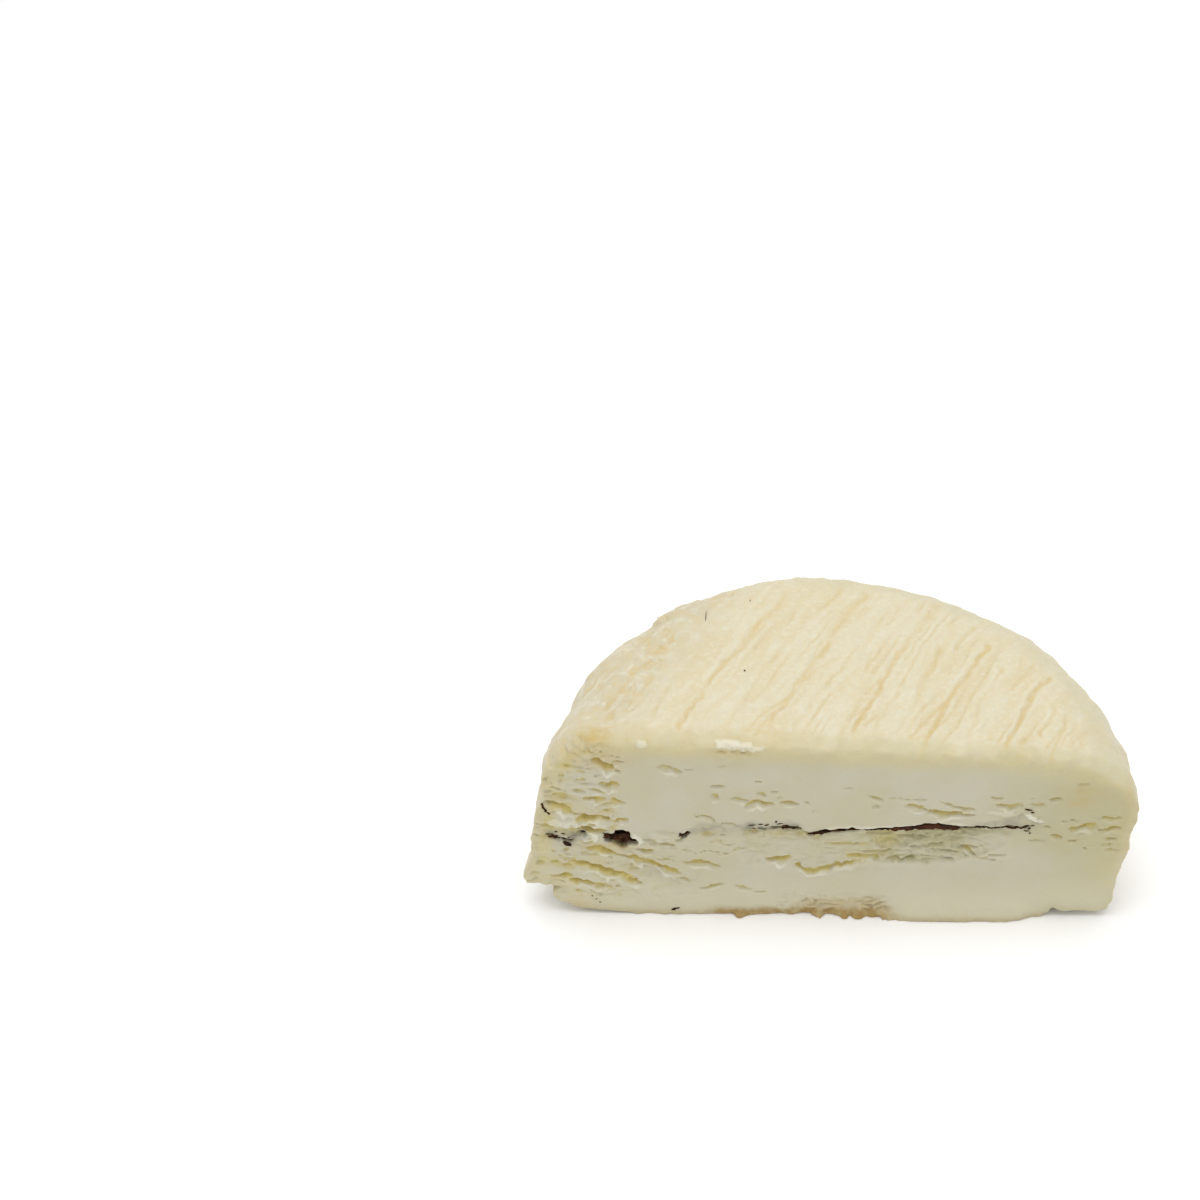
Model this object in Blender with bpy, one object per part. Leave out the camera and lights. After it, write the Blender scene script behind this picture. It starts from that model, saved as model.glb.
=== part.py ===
"""Half of a soft white goat cheese, cut straight through, with the layer of leaf that shows at the cut.

The cut face looks along -Y and X runs along the cut. The cheese rests on its flat underside at z = 0.
Lengths are written in millimetres and turned into metres where the vertices are made.
"""

import math

import bpy
from mathutils import Vector, noise
from mathutils.geometry import delaunay_2d_cdt

MM = 0.001

# Whole cheese that the half was cut from
CHEESE_RADIUS = 37.8
MID_HEIGHT = 27.75  # top above the middle of the cut
TOP_FALL = 0.05  # the top falls to the right by this much per mm
TOP_DOME = 0.475  # fall of the top over one radius, from its middle to its rim
CUT_PAST_CENTRE = 2.28  # the cut passes this far in front of the cheese's centre
CUT_Y = -20.05
CENTRE_X = 0.95
CENTRE_Y = CUT_Y + CUT_PAST_CENTRE

# Outline by direction, 0 at the right end of the cut and 180 at its left end. Each holds the top corner's
# inset and drop, the bottom corner's inset and rise, the lean outwards per mm of height, and the change
# of radius.
LEAN_LEVEL = 9.5
OUTLINE = {
    0: (11.4, 8.5, 6.6, 12.3, 0.02, -1.2),
    45: (9.5, 7.6, 5.7, 11.4, 0.0, -0.75),
    90: (6.6, 6.6, 4.8, 9.5, 0.0, 0.1),
    135: (7.6, 7.2, 4.8, 6.6, -0.04, 0.4),
    158: (7.6, 8.0, 6.8, 6.6, -0.07, -0.5),
    180: (6.6, 8.5, 7.6, 5.6, -0.12, 0.5),
}

# Fine shape of the rind
GROOVE_LEAN = math.radians(25)  # the grooves run to the back and lean to the right
# Distance of each groove from the axis, across the grooves
MAIN_GROOVES = (-20.2, -10.4, -0.9, 8.5, 17.6, 26.2, 31.4)
SIDE_GROOVES = (-14.8, -5.6, 3.6, 12.3, 20.9, 29.3)
MAIN_GROOVE = (0.5, 1.0)  # depth and half width
SIDE_GROOVE = (0.28, 0.9)
GROOVE_WANDER = 0.7
GROOVES_END = (4.0, 17.0)  # the grooves fade out between these distances along them
WALL_ROUGHNESS = 0.35
EDGE_LOBES = (  # x, distance behind the cut, height and half width of what stands up along the top edge
    (-11.0, 0.4, 0.45, 2.6),
    (13.8, 1.6, 0.4, 2.2),
    (-23.2, 0.4, 0.3, 1.0),
)
# The rind's torn tips at the left end of the base: height, how far it stands out, half height
BASE_TIPS = (
    (6.2, 0.9, 0.9),
    (2.2, 1.3, 0.6),
)

# Relief of the cut face
RIM_FADE = 1.3
BAND = (3.0, 22.5, 9.2, 1.5)  # sunken band under the leaf: x from, x to, its lower lip, depth
SHELF = (-10.2, 5.0, 8.2, 0.7)  # shallower band left of it
SCOOP = (-22.0, 6.5, 5.6, 1.5, -0.45, 1.1)  # x, z, half length, half height, slope, depth
CRUMBLY_TO = -23.5  # the cut is crumbly left of here
CRUMBLY_DEPTH = 0.7
HOLLOW = (-26.3, 13.0, 2.4, 1.5, 1.3)  # around the folded piece of leaf: x, z, half width, half height, depth

FISSURES = (  # x, z, length, height, depth, slope
    (-27.3, 24.8, 3.4, 1.2, 1.6, -0.6),
    (-27.3, 21.7, 2.4, 0.9, 1.2, 0.0),
    (-31.0, 20.6, 1.6, 0.7, 0.9, -0.2),
    (-29.3, 19.2, 2.3, 0.7, 1.0, 0.0),
    (-34.0, 17.7, 2.8, 1.1, 1.4, -0.5),
    (-29.6, 16.0, 3.6, 0.8, 1.2, 0.0),
    (-19.8, 24.5, 3.0, 0.7, 1.0, -0.15),
    (-13.9, 21.9, 1.6, 0.6, 0.8, -0.1),
    (-14.1, 19.7, 1.5, 0.6, 0.8, -0.4),
    (-9.2, 18.9, 4.6, 0.9, 1.2, -0.25),
    (-5.0, 19.2, 1.9, 0.8, 1.0, -0.3),
    (13.4, 17.5, 7.4, 0.9, 1.4, -0.2),
    (16.0, 19.0, 3.2, 0.6, 1.0, -0.3),
    (20.4, 20.3, 1.4, 0.6, 0.8, 0.0),
    (22.0, 18.6, 2.8, 0.7, 1.0, -0.15),
    (27.4, 19.9, 1.5, 0.7, 0.9, 0.0),
    (30.8, 15.1, 3.0, 0.7, 1.1, 0.1),
    (34.0, 14.9, 1.9, 0.6, 0.9, 0.0),
    (27.6, 13.6, 1.4, 0.6, 0.9, -0.3),
    (-29.0, 10.2, 4.0, 0.8, 1.2, -0.3),
    (-28.8, 6.9, 8.0, 0.9, 1.8, -0.36),
    (-31.4, 4.6, 4.4, 0.8, 1.5, -0.15),
    (-21.0, 8.0, 4.6, 1.0, 1.7, -0.2),
    (-16.2, 8.5, 4.6, 0.8, 1.1, -0.1),
    (-15.0, 4.8, 3.2, 0.7, 0.9, 0.3),
    (-6.5, 9.6, 3.4, 1.0, 1.4, 0.05),
    (-0.8, 7.9, 4.8, 0.9, 1.3, 0.1),
    (17.2, 11.0, 1.8, 0.6, 0.9, -0.45),
)

# Leaves: corners of the section at the cut (x, z), running left to right
LEAF_THICKNESS = 0.55
LEAF_GAP = 0.3
RIGHT_SECTION = (
    (-18.6, 13.6), (-16.4, 14.4), (-9.4, 14.6), (-5.0, 14.9), (-2.3, 13.8), (-0.4, 14.2), (2.4, 14.6),
    (5.0, 14.6), (8.2, 14.9), (11.7, 15.4), (17.0, 15.1), (20.4, 15.0), (24.4, 15.4),
)
LEFT_SECTION = (
    (-35.2, 13.3), (-34.0, 12.9), (-32.6, 12.7), (-31.2, 13.5), (-28.4, 13.4), (-26.3, 13.0), (-24.4, 12.8),
)
RIGHT_DEPTH = 26.0
LEFT_DEPTH = 13.0
FRONT_INSET = 0.12
FRONT_STEP = 1.0
SLOT_OVERRUN = 1.5  # the slots' cutters start this far in front of the cut
TEETH_DEPTH = 0.5
TEETH_PITCH = 2.2
# The leaves' folded ends: x, extra thickness, half width, how far it runs back
FOLD = (-26.3, 1.6, 1.5, 2.2)
CURL = (23.4, 0.8, 1.2, 2.4)

# Mesh resolution
WALL_COLUMNS = 64
CORNER_ROWS = 6
WALL_ROWS = 3
EDGE_STEP = 1.5
FACE_STEP = 1.45
TOP_ACROSS = 0.95
TOP_ALONG = 2.6
LEAF_STEP = 1.35


def clear_scene():
    for obj in list(bpy.data.objects):
        bpy.data.objects.remove(obj, do_unlink=True)


def smooth(low, high, value):
    t = min(max((value - low) / (high - low), 0.0), 1.0)
    return t * t * (3.0 - 2.0 * t)


def bump(value, middle, half):
    return math.exp(-(((value - middle) / half) ** 2))


def grain(x, y, z, scale):
    return noise.noise(Vector((x, y, z)) / scale)


def along(points, x):
    """Height at x of the broken line through these (x, z) points, which run left to right."""
    for (xa, za), (xb, zb) in zip(points, points[1:]):
        if x <= xb:
            return za + (zb - za) * min(max((x - xa) / (xb - xa), 0.0), 1.0)
    return points[-1][1]


# The cheese's outline


def station(angle):
    """The outline's six values at this angle in radians, blended between its named directions."""
    degrees = min(max(math.degrees(angle), 0.0), 180.0)
    named = list(OUTLINE)
    low, high = next((a, b) for a, b in zip(named, named[1:]) if degrees <= b)
    t = smooth(low, high, degrees)
    return [a + (b - a) * t for a, b in zip(OUTLINE[low], OUTLINE[high])]


def top_height(x, y):
    x -= CENTRE_X
    y -= CENTRE_Y
    return MID_HEIGHT - TOP_FALL * x - TOP_DOME * (x * x + y * y) / CHEESE_RADIUS**2


def top_relief(x, y):
    """Grooves, ridges and lobes of the top, in mm above its plain form."""
    across = (x - CENTRE_X) * math.cos(GROOVE_LEAN) - y * math.sin(GROOVE_LEAN)
    back = (x - CENTRE_X) * math.sin(GROOVE_LEAN) + y * math.cos(GROOVE_LEAN)
    across += CENTRE_X + GROOVE_WANDER * grain(x, y, 0.0, 6.0)
    fade = 1.0 - 0.75 * smooth(GROOVES_END[0], GROOVES_END[1], back)
    relief = 0.12 * grain(across * 2.2, back * 0.35, 5.0, 3.0)
    for grooves, (depth, half) in ((MAIN_GROOVES, MAIN_GROOVE), (SIDE_GROOVES, SIDE_GROOVE)):
        for middle in grooves:
            strength = 0.75 + 0.5 * grain(middle, back, 9.0, 7.0)
            relief -= depth * strength * fade * bump(across, middle, half)
    for middle, behind, rise, half in EDGE_LOBES:
        relief += rise * bump(x, middle, half) * bump(y, CUT_Y + behind, 1.5)
    return relief


def wall_relief(angle, x, y, z):
    """How far the crumbly rind of the side stands out or in, in mm."""
    relief = WALL_ROUGHNESS * (grain(x, y, z * 2.0, 5.0) + 0.5 * grain(x, y, z * 2.5, 2.4))
    left_end = bump(angle, math.pi, 0.28)
    for level, out, half in BASE_TIPS:
        relief += out * left_end * bump(z, level, half)
    return relief


def wall_point(angle, row):
    """Point of the side at this angle.

    Row -1 is the rim of the underside, 0 the widest band and 1 the rim of the top.
    """
    top_in, top_drop, base_in, base_rise, lean, swell = station(angle)
    radius = CHEESE_RADIUS + swell
    turn = math.cos(angle), math.sin(angle)
    if row <= 0.0:
        tilt = math.radians(90.0) * row
        reach = radius - base_in + base_in * math.cos(tilt)
        z = base_rise + base_rise * math.sin(tilt)
    else:
        tilt = math.radians(90.0) * max(0.0, (row - 0.35) / 0.65)
        reach = radius - top_in + top_in * math.cos(tilt)
        level = top_height(CENTRE_X + reach * turn[0], CENTRE_Y + reach * turn[1])
        z = level - top_drop + top_drop * math.sin(tilt)
        if row < 0.35:
            z = base_rise + (z - base_rise) * row / 0.35
    flat = abs(math.sin(tilt))
    plain = reach + lean * (z - LEAN_LEVEL)
    x = CENTRE_X + plain * turn[0]
    y = CENTRE_Y + plain * turn[1]
    fade = (1.0 - flat) if row <= 0.0 else (1.0 - flat * flat)
    reach = plain + fade * wall_relief(angle, x, y, z)
    if row > 0.35:
        z += flat * top_relief(x, y)
    return CENTRE_X + reach * turn[0], CENTRE_Y + reach * turn[1], z


def angle_at_cut(row, right_end):
    """Angle at which this row of the side meets the plane of the cut."""
    angle = 0.0 if right_end else math.pi
    for _ in range(12):
        x, y, _ = wall_point(angle, row)
        reach = math.hypot(x - CENTRE_X, y - CENTRE_Y)
        down = math.asin(-CUT_PAST_CENTRE / reach)
        angle = down if right_end else math.pi - down
    return angle


def wall_rows():
    corner = [-1.0 + i / CORNER_ROWS for i in range(CORNER_ROWS)]
    middle = [0.35 * i / WALL_ROWS for i in range(WALL_ROWS)]
    shoulder = [0.35 + 0.65 * i / CORNER_ROWS for i in range(CORNER_ROWS + 1)]
    return corner + middle + shoulder


# The cut face


def cut_depth(x, z):
    """How far the cut face lies behind the plane of the cut, in mm."""
    seam = along(RIGHT_SECTION, x)
    depth = 0.0
    for low_x, high_x, lip, deep in (BAND, SHELF):
        lip += 0.7 * grain(x, 0.0, lip, 2.6)
        inside = smooth(low_x, low_x + 2.5, x) * (1.0 - smooth(high_x - 2.5, high_x, x))
        rise = smooth(lip - 0.2, lip + 0.7, z) * (1.0 - smooth(seam + 0.1, seam + 0.9, z))
        steps = 0.75 + 0.25 * smooth(lip, seam, z) + 0.35 * grain(x, 3.0, z * 3.0, 4.0)
        depth = max(depth, deep * inside * rise * steps)
    mid_x, mid_z, half_x, half_z, slope, deep = SCOOP
    drop = z - mid_z - slope * (x - mid_x)
    depth = max(depth, deep * bump(x, mid_x, half_x) * bump(drop, 0.0, half_z))
    mid_x, mid_z, half_x, half_z, deep = HOLLOW
    depth = max(depth, deep * bump(x, mid_x, half_x) * bump(z, mid_z, half_z))
    crumbly = 1.0 - smooth(CRUMBLY_TO - 4.0, CRUMBLY_TO, x)
    depth += crumbly * CRUMBLY_DEPTH * max(0.0, 0.4 + grain(x, 7.0, z * 2.2, 2.6))
    return depth + 0.12 * max(0.0, grain(x, 1.0, z * 2.0, 3.0))


# Meshes


class Shell:
    """Vertices and triangles of one closed surface, in mm."""

    def __init__(self):
        self.points = []
        self.faces = []

    def add(self, point):
        self.points.append(point)
        return len(self.points) - 1

    def strip(self, lower, upper):
        """Triangles between two rows with as many vertices, facing left of the rows' direction."""
        for i in range(len(lower) - 1):
            self.faces.append((lower[i], lower[i + 1], upper[i + 1]))
            self.faces.append((lower[i], upper[i + 1], upper[i]))

    def fill(self, loop, plan, inner, lift, flip=False):
        """Triangulates the flat plan of a loop with more points inside, each lifted into place."""
        flat = [Vector(plan(self.points[i])) for i in loop]
        extra = [self.add(lift(*point)) for point in inner]
        ids = list(loop) + extra
        flat += [Vector(point) for point in inner]
        _, _, faces, origins, _, _ = delaunay_2d_cdt(flat, [], [list(range(len(loop)))], 1, 1e-4)
        for face in faces:
            a, b, c = (ids[origins[corner][0]] for corner in face)
            self.faces.append((a, c, b) if flip else (a, b, c))

    def make(self, name, material=None):
        mesh = bpy.data.meshes.new(name)
        mesh.from_pydata([Vector(p) * MM for p in self.points], [], self.faces)
        mesh.validate()
        mesh.shade_smooth()
        mesh.set_sharp_from_angle(angle=math.radians(40))
        obj = bpy.data.objects.new(name, mesh)
        bpy.context.scene.collection.objects.link(obj)
        if material:
            mesh.materials.append(material)
        return obj


def inside(point, loop, margin):
    """Whether a 2-D point lies inside the loop and at least the margin from its edge."""
    x, y = point
    found = False
    for (xa, ya), (xb, yb) in zip(loop, loop[1:] + loop[:1]):
        if (ya > y) != (yb > y) and x < xa + (y - ya) * (xb - xa) / (yb - ya):
            found = not found
        length = math.hypot(xb - xa, yb - ya) or 1.0
        t = min(max(((x - xa) * (xb - xa) + (y - ya) * (yb - ya)) / length**2, 0.0), 1.0)
        if math.hypot(xa + t * (xb - xa) - x, ya + t * (yb - ya) - y) < margin:
            return False
    return found


def grid(loop, step, margin, across=None, lean=0.0):
    """Staggered points inside a loop, in rows turned by the lean, stretched along it if across is given."""
    across = across or step
    half = max(max(abs(x), abs(y)) for x, y in loop) * 1.5
    cos, sin = math.cos(lean), math.sin(lean)
    found = []
    rows = int(half / step)
    columns = int(half / across)
    for j in range(-rows, rows + 1):
        for i in range(-columns, columns + 1):
            u = across * (i + 0.5 * (j % 2))
            v = step * j
            point = (u * cos + v * sin, -u * sin + v * cos)
            if inside(point, loop, margin):
                found.append(point)
    return found


def build_cheese(material):
    """The half cheese as one closed surface: the side, the top, the underside and the cut face."""
    shell = Shell()
    rows = []
    for row in wall_rows():
        start = angle_at_cut(row, True)
        end = angle_at_cut(row, False)
        ring = []
        for i in range(WALL_COLUMNS + 1):
            x, y, z = wall_point(start + (end - start) * i / WALL_COLUMNS, row)
            at_cut = i in (0, WALL_COLUMNS)
            ring.append(shell.add((x, CUT_Y if at_cut else y, z)))
        rows.append(ring)
    for lower, upper in zip(rows, rows[1:]):
        shell.strip(lower, upper)

    def edge(left, right, height):
        """Vertices along the plane of the cut, from the left one to the right one, without the two ends."""
        xa, xb = shell.points[left][0], shell.points[right][0]
        count = int((xb - xa) / EDGE_STEP)
        xs = [xa + (xb - xa) * i / count for i in range(1, count)]
        return [shell.add((x, CUT_Y, height(x))) for x in xs]

    top_edge = edge(rows[-1][-1], rows[-1][0], lambda x: top_height(x, CUT_Y) + top_relief(x, CUT_Y))
    base_edge = edge(rows[0][-1], rows[0][0], lambda x: 0.0)

    def plan(point):
        return point[0], point[1]

    top_loop = rows[-1] + top_edge
    shape = [plan(shell.points[i]) for i in top_loop]
    shell.fill(
        top_loop,
        plan,
        grid(shape, TOP_ALONG, 0.6, TOP_ACROSS, GROOVE_LEAN),
        lambda x, y: (x, y, top_height(x, y) + top_relief(x, y)),
    )
    base_loop = rows[0] + base_edge
    shell.fill(base_loop, plan, [], None, flip=True)

    def front(point):
        return point[0], point[2]

    left = [ring[-1] for ring in rows]
    right = [ring[0] for ring in rows]
    face_loop = base_edge + right + top_edge[::-1] + left[::-1]
    shape = [front(shell.points[i]) for i in face_loop]

    def carved(x, z):
        rim = min(math.hypot(x - xe, z - ze) for xe, ze in shape)
        return x, CUT_Y + cut_depth(x, z) * smooth(0.3, RIM_FADE, rim), z

    shell.fill(face_loop, front, grid(shape, FACE_STEP, 0.7), carved)
    return shell.make("cheese", material)


def build_fissures():
    """The slits of the cut face, as cutters: flattened, torn lenses lying along the layers of the curd."""
    collection = bpy.data.collections.new("fissure_cutters")
    collection.hide_render = True
    bpy.context.scene.collection.children.link(collection)
    around, along_slit = 8, 6
    for number, (x, z, length, height, depth, slope) in enumerate(FISSURES):
        shell = Shell()
        rings = []
        for j in range(1, along_slit):
            t = -1.0 + 2.0 * j / along_slit
            wide = math.sqrt(1.0 - t * t)
            ring = []
            for i in range(around):
                turn = math.tau * i / around
                px = x + 0.5 * length * t
                torn = 0.3 * height * grain(px, number, i, 1.3)
                pz = z + slope * (px - x) + 0.5 * height * wide * math.sin(turn) + torn
                ring.append(shell.add((px, CUT_Y + depth * wide * math.cos(turn), pz)))
            rings.append(ring + ring[:1])
        for lower, upper in zip(rings, rings[1:]):
            shell.strip(lower, upper)
        for side, ring in ((-1.0, rings[0]), (1.0, rings[-1])):
            tip = shell.add((x + side * 0.5 * length, CUT_Y, z + side * slope * 0.5 * length))
            for a, b in zip(ring, ring[1:]):
                shell.faces.append((tip, b, a) if side < 0 else (tip, a, b))
        cutter = shell.make(f"fissure_{number + 1:02d}")
        cutter.display_type = "WIRE"
        cutter.hide_render = True
        bpy.context.scene.collection.objects.unlink(cutter)
        collection.objects.link(cutter)
    return collection


def leaf_outline(section, depth, grow, front):
    """Plan of a half leaf, straight at the cut: grown by a gap for its slot, toothed otherwise."""
    left, right = section[0][0], section[-1][0]
    middle, half = 0.5 * (left + right), 0.5 * (right - left) + grow
    deep = depth + grow - FRONT_INSET
    count = 2 * max(8, int(1.5 * depth / TEETH_PITCH))
    loop = []
    for i in range(count + 1):
        turn = math.pi * i / count
        reach = math.cos(turn)
        x = middle + half * reach
        y = CUT_Y + FRONT_INSET + deep * (1.0 - abs(reach) ** 1.8)
        if not grow and i % 2:
            x -= TEETH_DEPTH * math.cos(turn)
            y -= TEETH_DEPTH * math.sin(turn)
        loop.append((x, y))
    steps = int((right - left) / FRONT_STEP)
    for i in range(0 if grow else 1, steps + 1 if grow else steps):
        loop.append((left + (right - left) * i / steps, CUT_Y + front))
    return loop


def build_blade(name, section, depth, lump, grow, material):
    """A thin wavy blade that starts at the cut, both faces split alike.

    With a gap to grow by, it is the slot's cutter.
    """
    loop = leaf_outline(section, depth, 0.0, FRONT_INSET)
    inner = grid(loop, LEAF_STEP, 0.5)
    if grow:
        inner += loop
        loop = leaf_outline(section, depth, grow, -SLOT_OVERRUN)
    mean = sum(z for _, z in section) / len(section)
    lump_x, extra, lump_half, lump_back = lump

    def middle(x, y):
        back = smooth(0.0, 9.0, y - CUT_Y)
        z = along(section, x) * (1.0 - back) + mean * back
        return z + back * (0.5 * math.sin(0.55 * x + 0.2 * y) + 0.3 * math.sin(0.5 * y))

    def half_thickness(x, y):
        swell = extra * bump(x, lump_x, lump_half) * (1.0 - smooth(0.0, lump_back, y - CUT_Y))
        return 0.5 * (LEAF_THICKNESS + swell) + grow

    shell = Shell()
    upper = [shell.add((x, y, middle(x, y) + half_thickness(x, y))) for x, y in loop]
    lower = [shell.add((x, y, middle(x, y) - half_thickness(x, y))) for x, y in loop]

    def plan(point):
        return point[0], point[1]

    shell.fill(upper, plan, inner, lambda x, y: (x, y, middle(x, y) + half_thickness(x, y)))
    shell.fill(lower, plan, inner, lambda x, y: (x, y, middle(x, y) - half_thickness(x, y)), flip=True)
    shell.strip(lower + lower[:1], upper + upper[:1])
    return shell.make(name, material)


def cut_out(obj, name, cutter):
    modifier = obj.modifiers.new(name, "BOOLEAN")
    modifier.operation = "DIFFERENCE"
    modifier.solver = "EXACT"
    if isinstance(cutter, bpy.types.Collection):
        modifier.operand_type = "COLLECTION"
        modifier.collection = cutter
    else:
        cutter.display_type = "WIRE"
        cutter.hide_render = True
        modifier.object = cutter


def make_material(name, colour, roughness):
    material = bpy.data.materials.new(name)
    material.use_nodes = True
    shader = material.node_tree.nodes["Principled BSDF"]
    shader.inputs["Base Color"].default_value = (*colour, 1.0)
    shader.inputs["Roughness"].default_value = roughness
    shader.inputs["Metallic"].default_value = 0.0
    return material


def main():
    clear_scene()
    rind_and_paste = make_material("goat_cheese", (0.69, 0.62, 0.45), 0.55)
    leaf = make_material("dried_leaf", (0.035, 0.02, 0.012), 0.7)
    cheese = build_cheese(rind_and_paste)
    cut_out(cheese, "fissures", build_fissures())
    for side, section, depth, lump in (
        ("right", RIGHT_SECTION, RIGHT_DEPTH, CURL),
        ("left", LEFT_SECTION, LEFT_DEPTH, FOLD),
    ):
        build_blade(f"leaf_{side}", section, depth, lump, 0.0, leaf)
        slot = build_blade(f"slot_{side}", section, depth, lump, LEAF_GAP, None)
        cut_out(cheese, f"slot_{side}", slot)


main()
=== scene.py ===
"""Looks of half a soft goat cheese, cut straight through, with the layer of leaf that shows at the cut.

Sizes are in millimetres until a mesh, a light or a camera is made from them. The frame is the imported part's:
the cut face looks along -Y, X runs along the cut, and the cheese rests on its underside at z = 0.
"""

from __future__ import annotations

import logging
import math
from dataclasses import dataclass, field
from enum import Enum
from itertools import product

import bpy
import numpy as np
from mathutils import Matrix, Vector


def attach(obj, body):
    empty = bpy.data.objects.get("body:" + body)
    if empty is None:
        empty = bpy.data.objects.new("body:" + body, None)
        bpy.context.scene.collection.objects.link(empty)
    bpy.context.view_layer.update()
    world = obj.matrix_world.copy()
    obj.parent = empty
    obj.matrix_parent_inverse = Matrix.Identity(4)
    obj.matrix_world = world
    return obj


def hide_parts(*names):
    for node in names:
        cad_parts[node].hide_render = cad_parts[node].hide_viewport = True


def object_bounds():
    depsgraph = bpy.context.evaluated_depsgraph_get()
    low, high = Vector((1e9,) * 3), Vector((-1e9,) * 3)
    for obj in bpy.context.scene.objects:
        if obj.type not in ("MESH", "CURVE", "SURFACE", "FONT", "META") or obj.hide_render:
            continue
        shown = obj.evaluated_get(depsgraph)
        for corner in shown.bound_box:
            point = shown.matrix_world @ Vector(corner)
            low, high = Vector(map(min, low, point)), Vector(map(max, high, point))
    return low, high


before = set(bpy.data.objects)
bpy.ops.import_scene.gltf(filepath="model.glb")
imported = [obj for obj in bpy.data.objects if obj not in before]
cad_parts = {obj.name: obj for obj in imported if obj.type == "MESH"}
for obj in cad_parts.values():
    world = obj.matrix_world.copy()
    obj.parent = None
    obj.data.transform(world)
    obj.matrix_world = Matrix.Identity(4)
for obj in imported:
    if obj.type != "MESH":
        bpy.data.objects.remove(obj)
CAD_BOX = [list(corner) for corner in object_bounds()]

MM = 0.001
GRAIN_SCALE = "grain_scale"
CUT_Y = -20.05
CENTRE_X = 0.95
CENTRE_Y = -17.77
Array = np.ndarray
Path = tuple[tuple[float, float], ...]
Span = tuple[float, float]
Colour = tuple[float, float, float]
Socket = bpy.types.NodeSocket

log = logging.getLogger("half_cheese")


def smooth(low: float, high: float, value: Array) -> Array:
    """A soft step from 0 at low to 1 at high."""
    t = np.clip((value - low) / (high - low), 0.0, 1.0)
    return t * t * (3.0 - 2.0 * t)


def bump(value: Array, middle: float, half: float) -> Array:
    """A bell of height 1 about the middle."""
    return np.exp(-(((value - middle) / half) ** 2))


def within(value: Array, low: float, high: float, soft: float) -> Array:
    """1 between low and high, fading to 0 over a soft margin outside of them."""
    return smooth(low - soft, low, value) * (1.0 - smooth(high, high + soft, value))


def follow(path: Path, at: Array) -> Array:
    """Second coordinate of a path at each first coordinate."""
    first, second = zip(*path)
    return np.interp(at, first, second)


def soft_max(a: Array, b: Array, width: Array | float) -> Array:
    """The larger of two distances, rounded where they meet.

    Args:
        a: First distance.
        b: Second distance.
        width: How wide the rounding is.

    Returns:
        The rounded larger distance.
    """
    near = np.maximum(width - np.abs(a - b), 0.0) / width
    return np.maximum(a, b) + 0.25 * width * near * near


def polygon_distance(x: Array, z: Array, corners: list[tuple[float, float]]) -> Array:
    """Distance to a closed outline.

    Args:
        x: First coordinates.
        z: Second coordinates.
        corners: The outline's corners in order.

    Returns:
        The distance, negative inside.
    """
    nearest = np.full(np.broadcast(x, z).shape, np.inf)
    inside = np.zeros(nearest.shape, bool)
    for (ax, az), (bx, bz) in zip(corners, corners[1:] + corners[:1]):
        dx, dz = bx - ax, bz - az
        t = np.clip(((x - ax) * dx + (z - az) * dz) / (dx * dx + dz * dz), 0.0, 1.0)
        nearest = np.minimum(nearest, (x - ax - t * dx) ** 2 + (z - az - t * dz) ** 2)
        if az != bz:
            inside ^= ((az > z) != (bz > z)) & (x < ax + (z - az) * dx / dz)
    return np.where(inside, -1.0, 1.0) * np.sqrt(nearest)


@dataclass(frozen=True)
class Ripple:
    """One layer of noise in a relief: its height, its two lengths, and its level in the lattice."""

    height: float
    length: float
    width: float
    level: float


class SmoothNoise:
    """Seeded, smooth noise on a repeating lattice, for any arrays of points."""

    SIZE = 32

    def __init__(self, seed: int) -> None:
        """Fills the lattice.

        Args:
            seed: Seed of the lattice's values.
        """
        self.lattice = np.random.default_rng(seed).uniform(-1.0, 1.0, (self.SIZE,) * 3).astype(np.float32)

    def at(self, x: Array, y: Array, z: Array) -> Array:
        """Noise from -1 to 1, with cells of size 1.

        Args:
            x: First coordinates.
            y: Second coordinates.
            z: Third coordinates.

        Returns:
            The noise, with the shape that the coordinates broadcast to.
        """
        cells, parts = [], []
        for value in (x, y, z):
            value = np.asarray(value, np.float32)
            floor = np.floor(value)
            t = value - floor
            cells.append(floor.astype(np.int32) % self.SIZE)
            parts.append(t * t * (3.0 - 2.0 * t))
        total = 0.0
        for corner in product((0, 1), repeat=3):
            index = tuple((cell + step) % self.SIZE for cell, step in zip(cells, corner))
            weight = 1.0
            for part, step in zip(parts, corner):
                weight = weight * (part if step else 1.0 - part)
            total = total + weight * self.lattice[index]
        return total

    def layered(self, x: Array, y: Array, z: Array, octaves: int = 3) -> Array:
        """Noise with finer and weaker noise on top of it.

        Args:
            x: First coordinates.
            y: Second coordinates.
            z: Third coordinates.
            octaves: How many sizes of noise are summed.

        Returns:
            The summed noise, mostly between -1 and 1.
        """
        total, weight, scale = 0.0, 1.0, 1.0
        for octave in range(octaves):
            total = total + weight * self.at(x * scale + 7.3 * octave, y * scale + 3.1 * octave, z * scale)
            weight *= 0.5
            scale *= 2.07
        return total / (2.0 - 2.0 * weight)

    def rippled(self, u: Array, v: Array, ripples: tuple[Ripple, ...], start: Array | float = 0.0) -> Array:
        """Adds layers of noise to a relief.

        Args:
            u: First coordinates.
            v: Second coordinates.
            ripples: The layers.
            start: The relief that they are added to.

        Returns:
            The relief with the layers.
        """
        relief = start
        for ripple in ripples:
            relief = relief + ripple.height * self.at(u / ripple.length, v / ripple.width, ripple.level)
        return relief


@dataclass(frozen=True)
class Station:
    """The outline's corners in one direction, in millimetres."""

    angle: float
    top_inset: float
    top_drop: float
    base_inset: float
    base_rise: float
    lean: float
    swell: float


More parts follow.
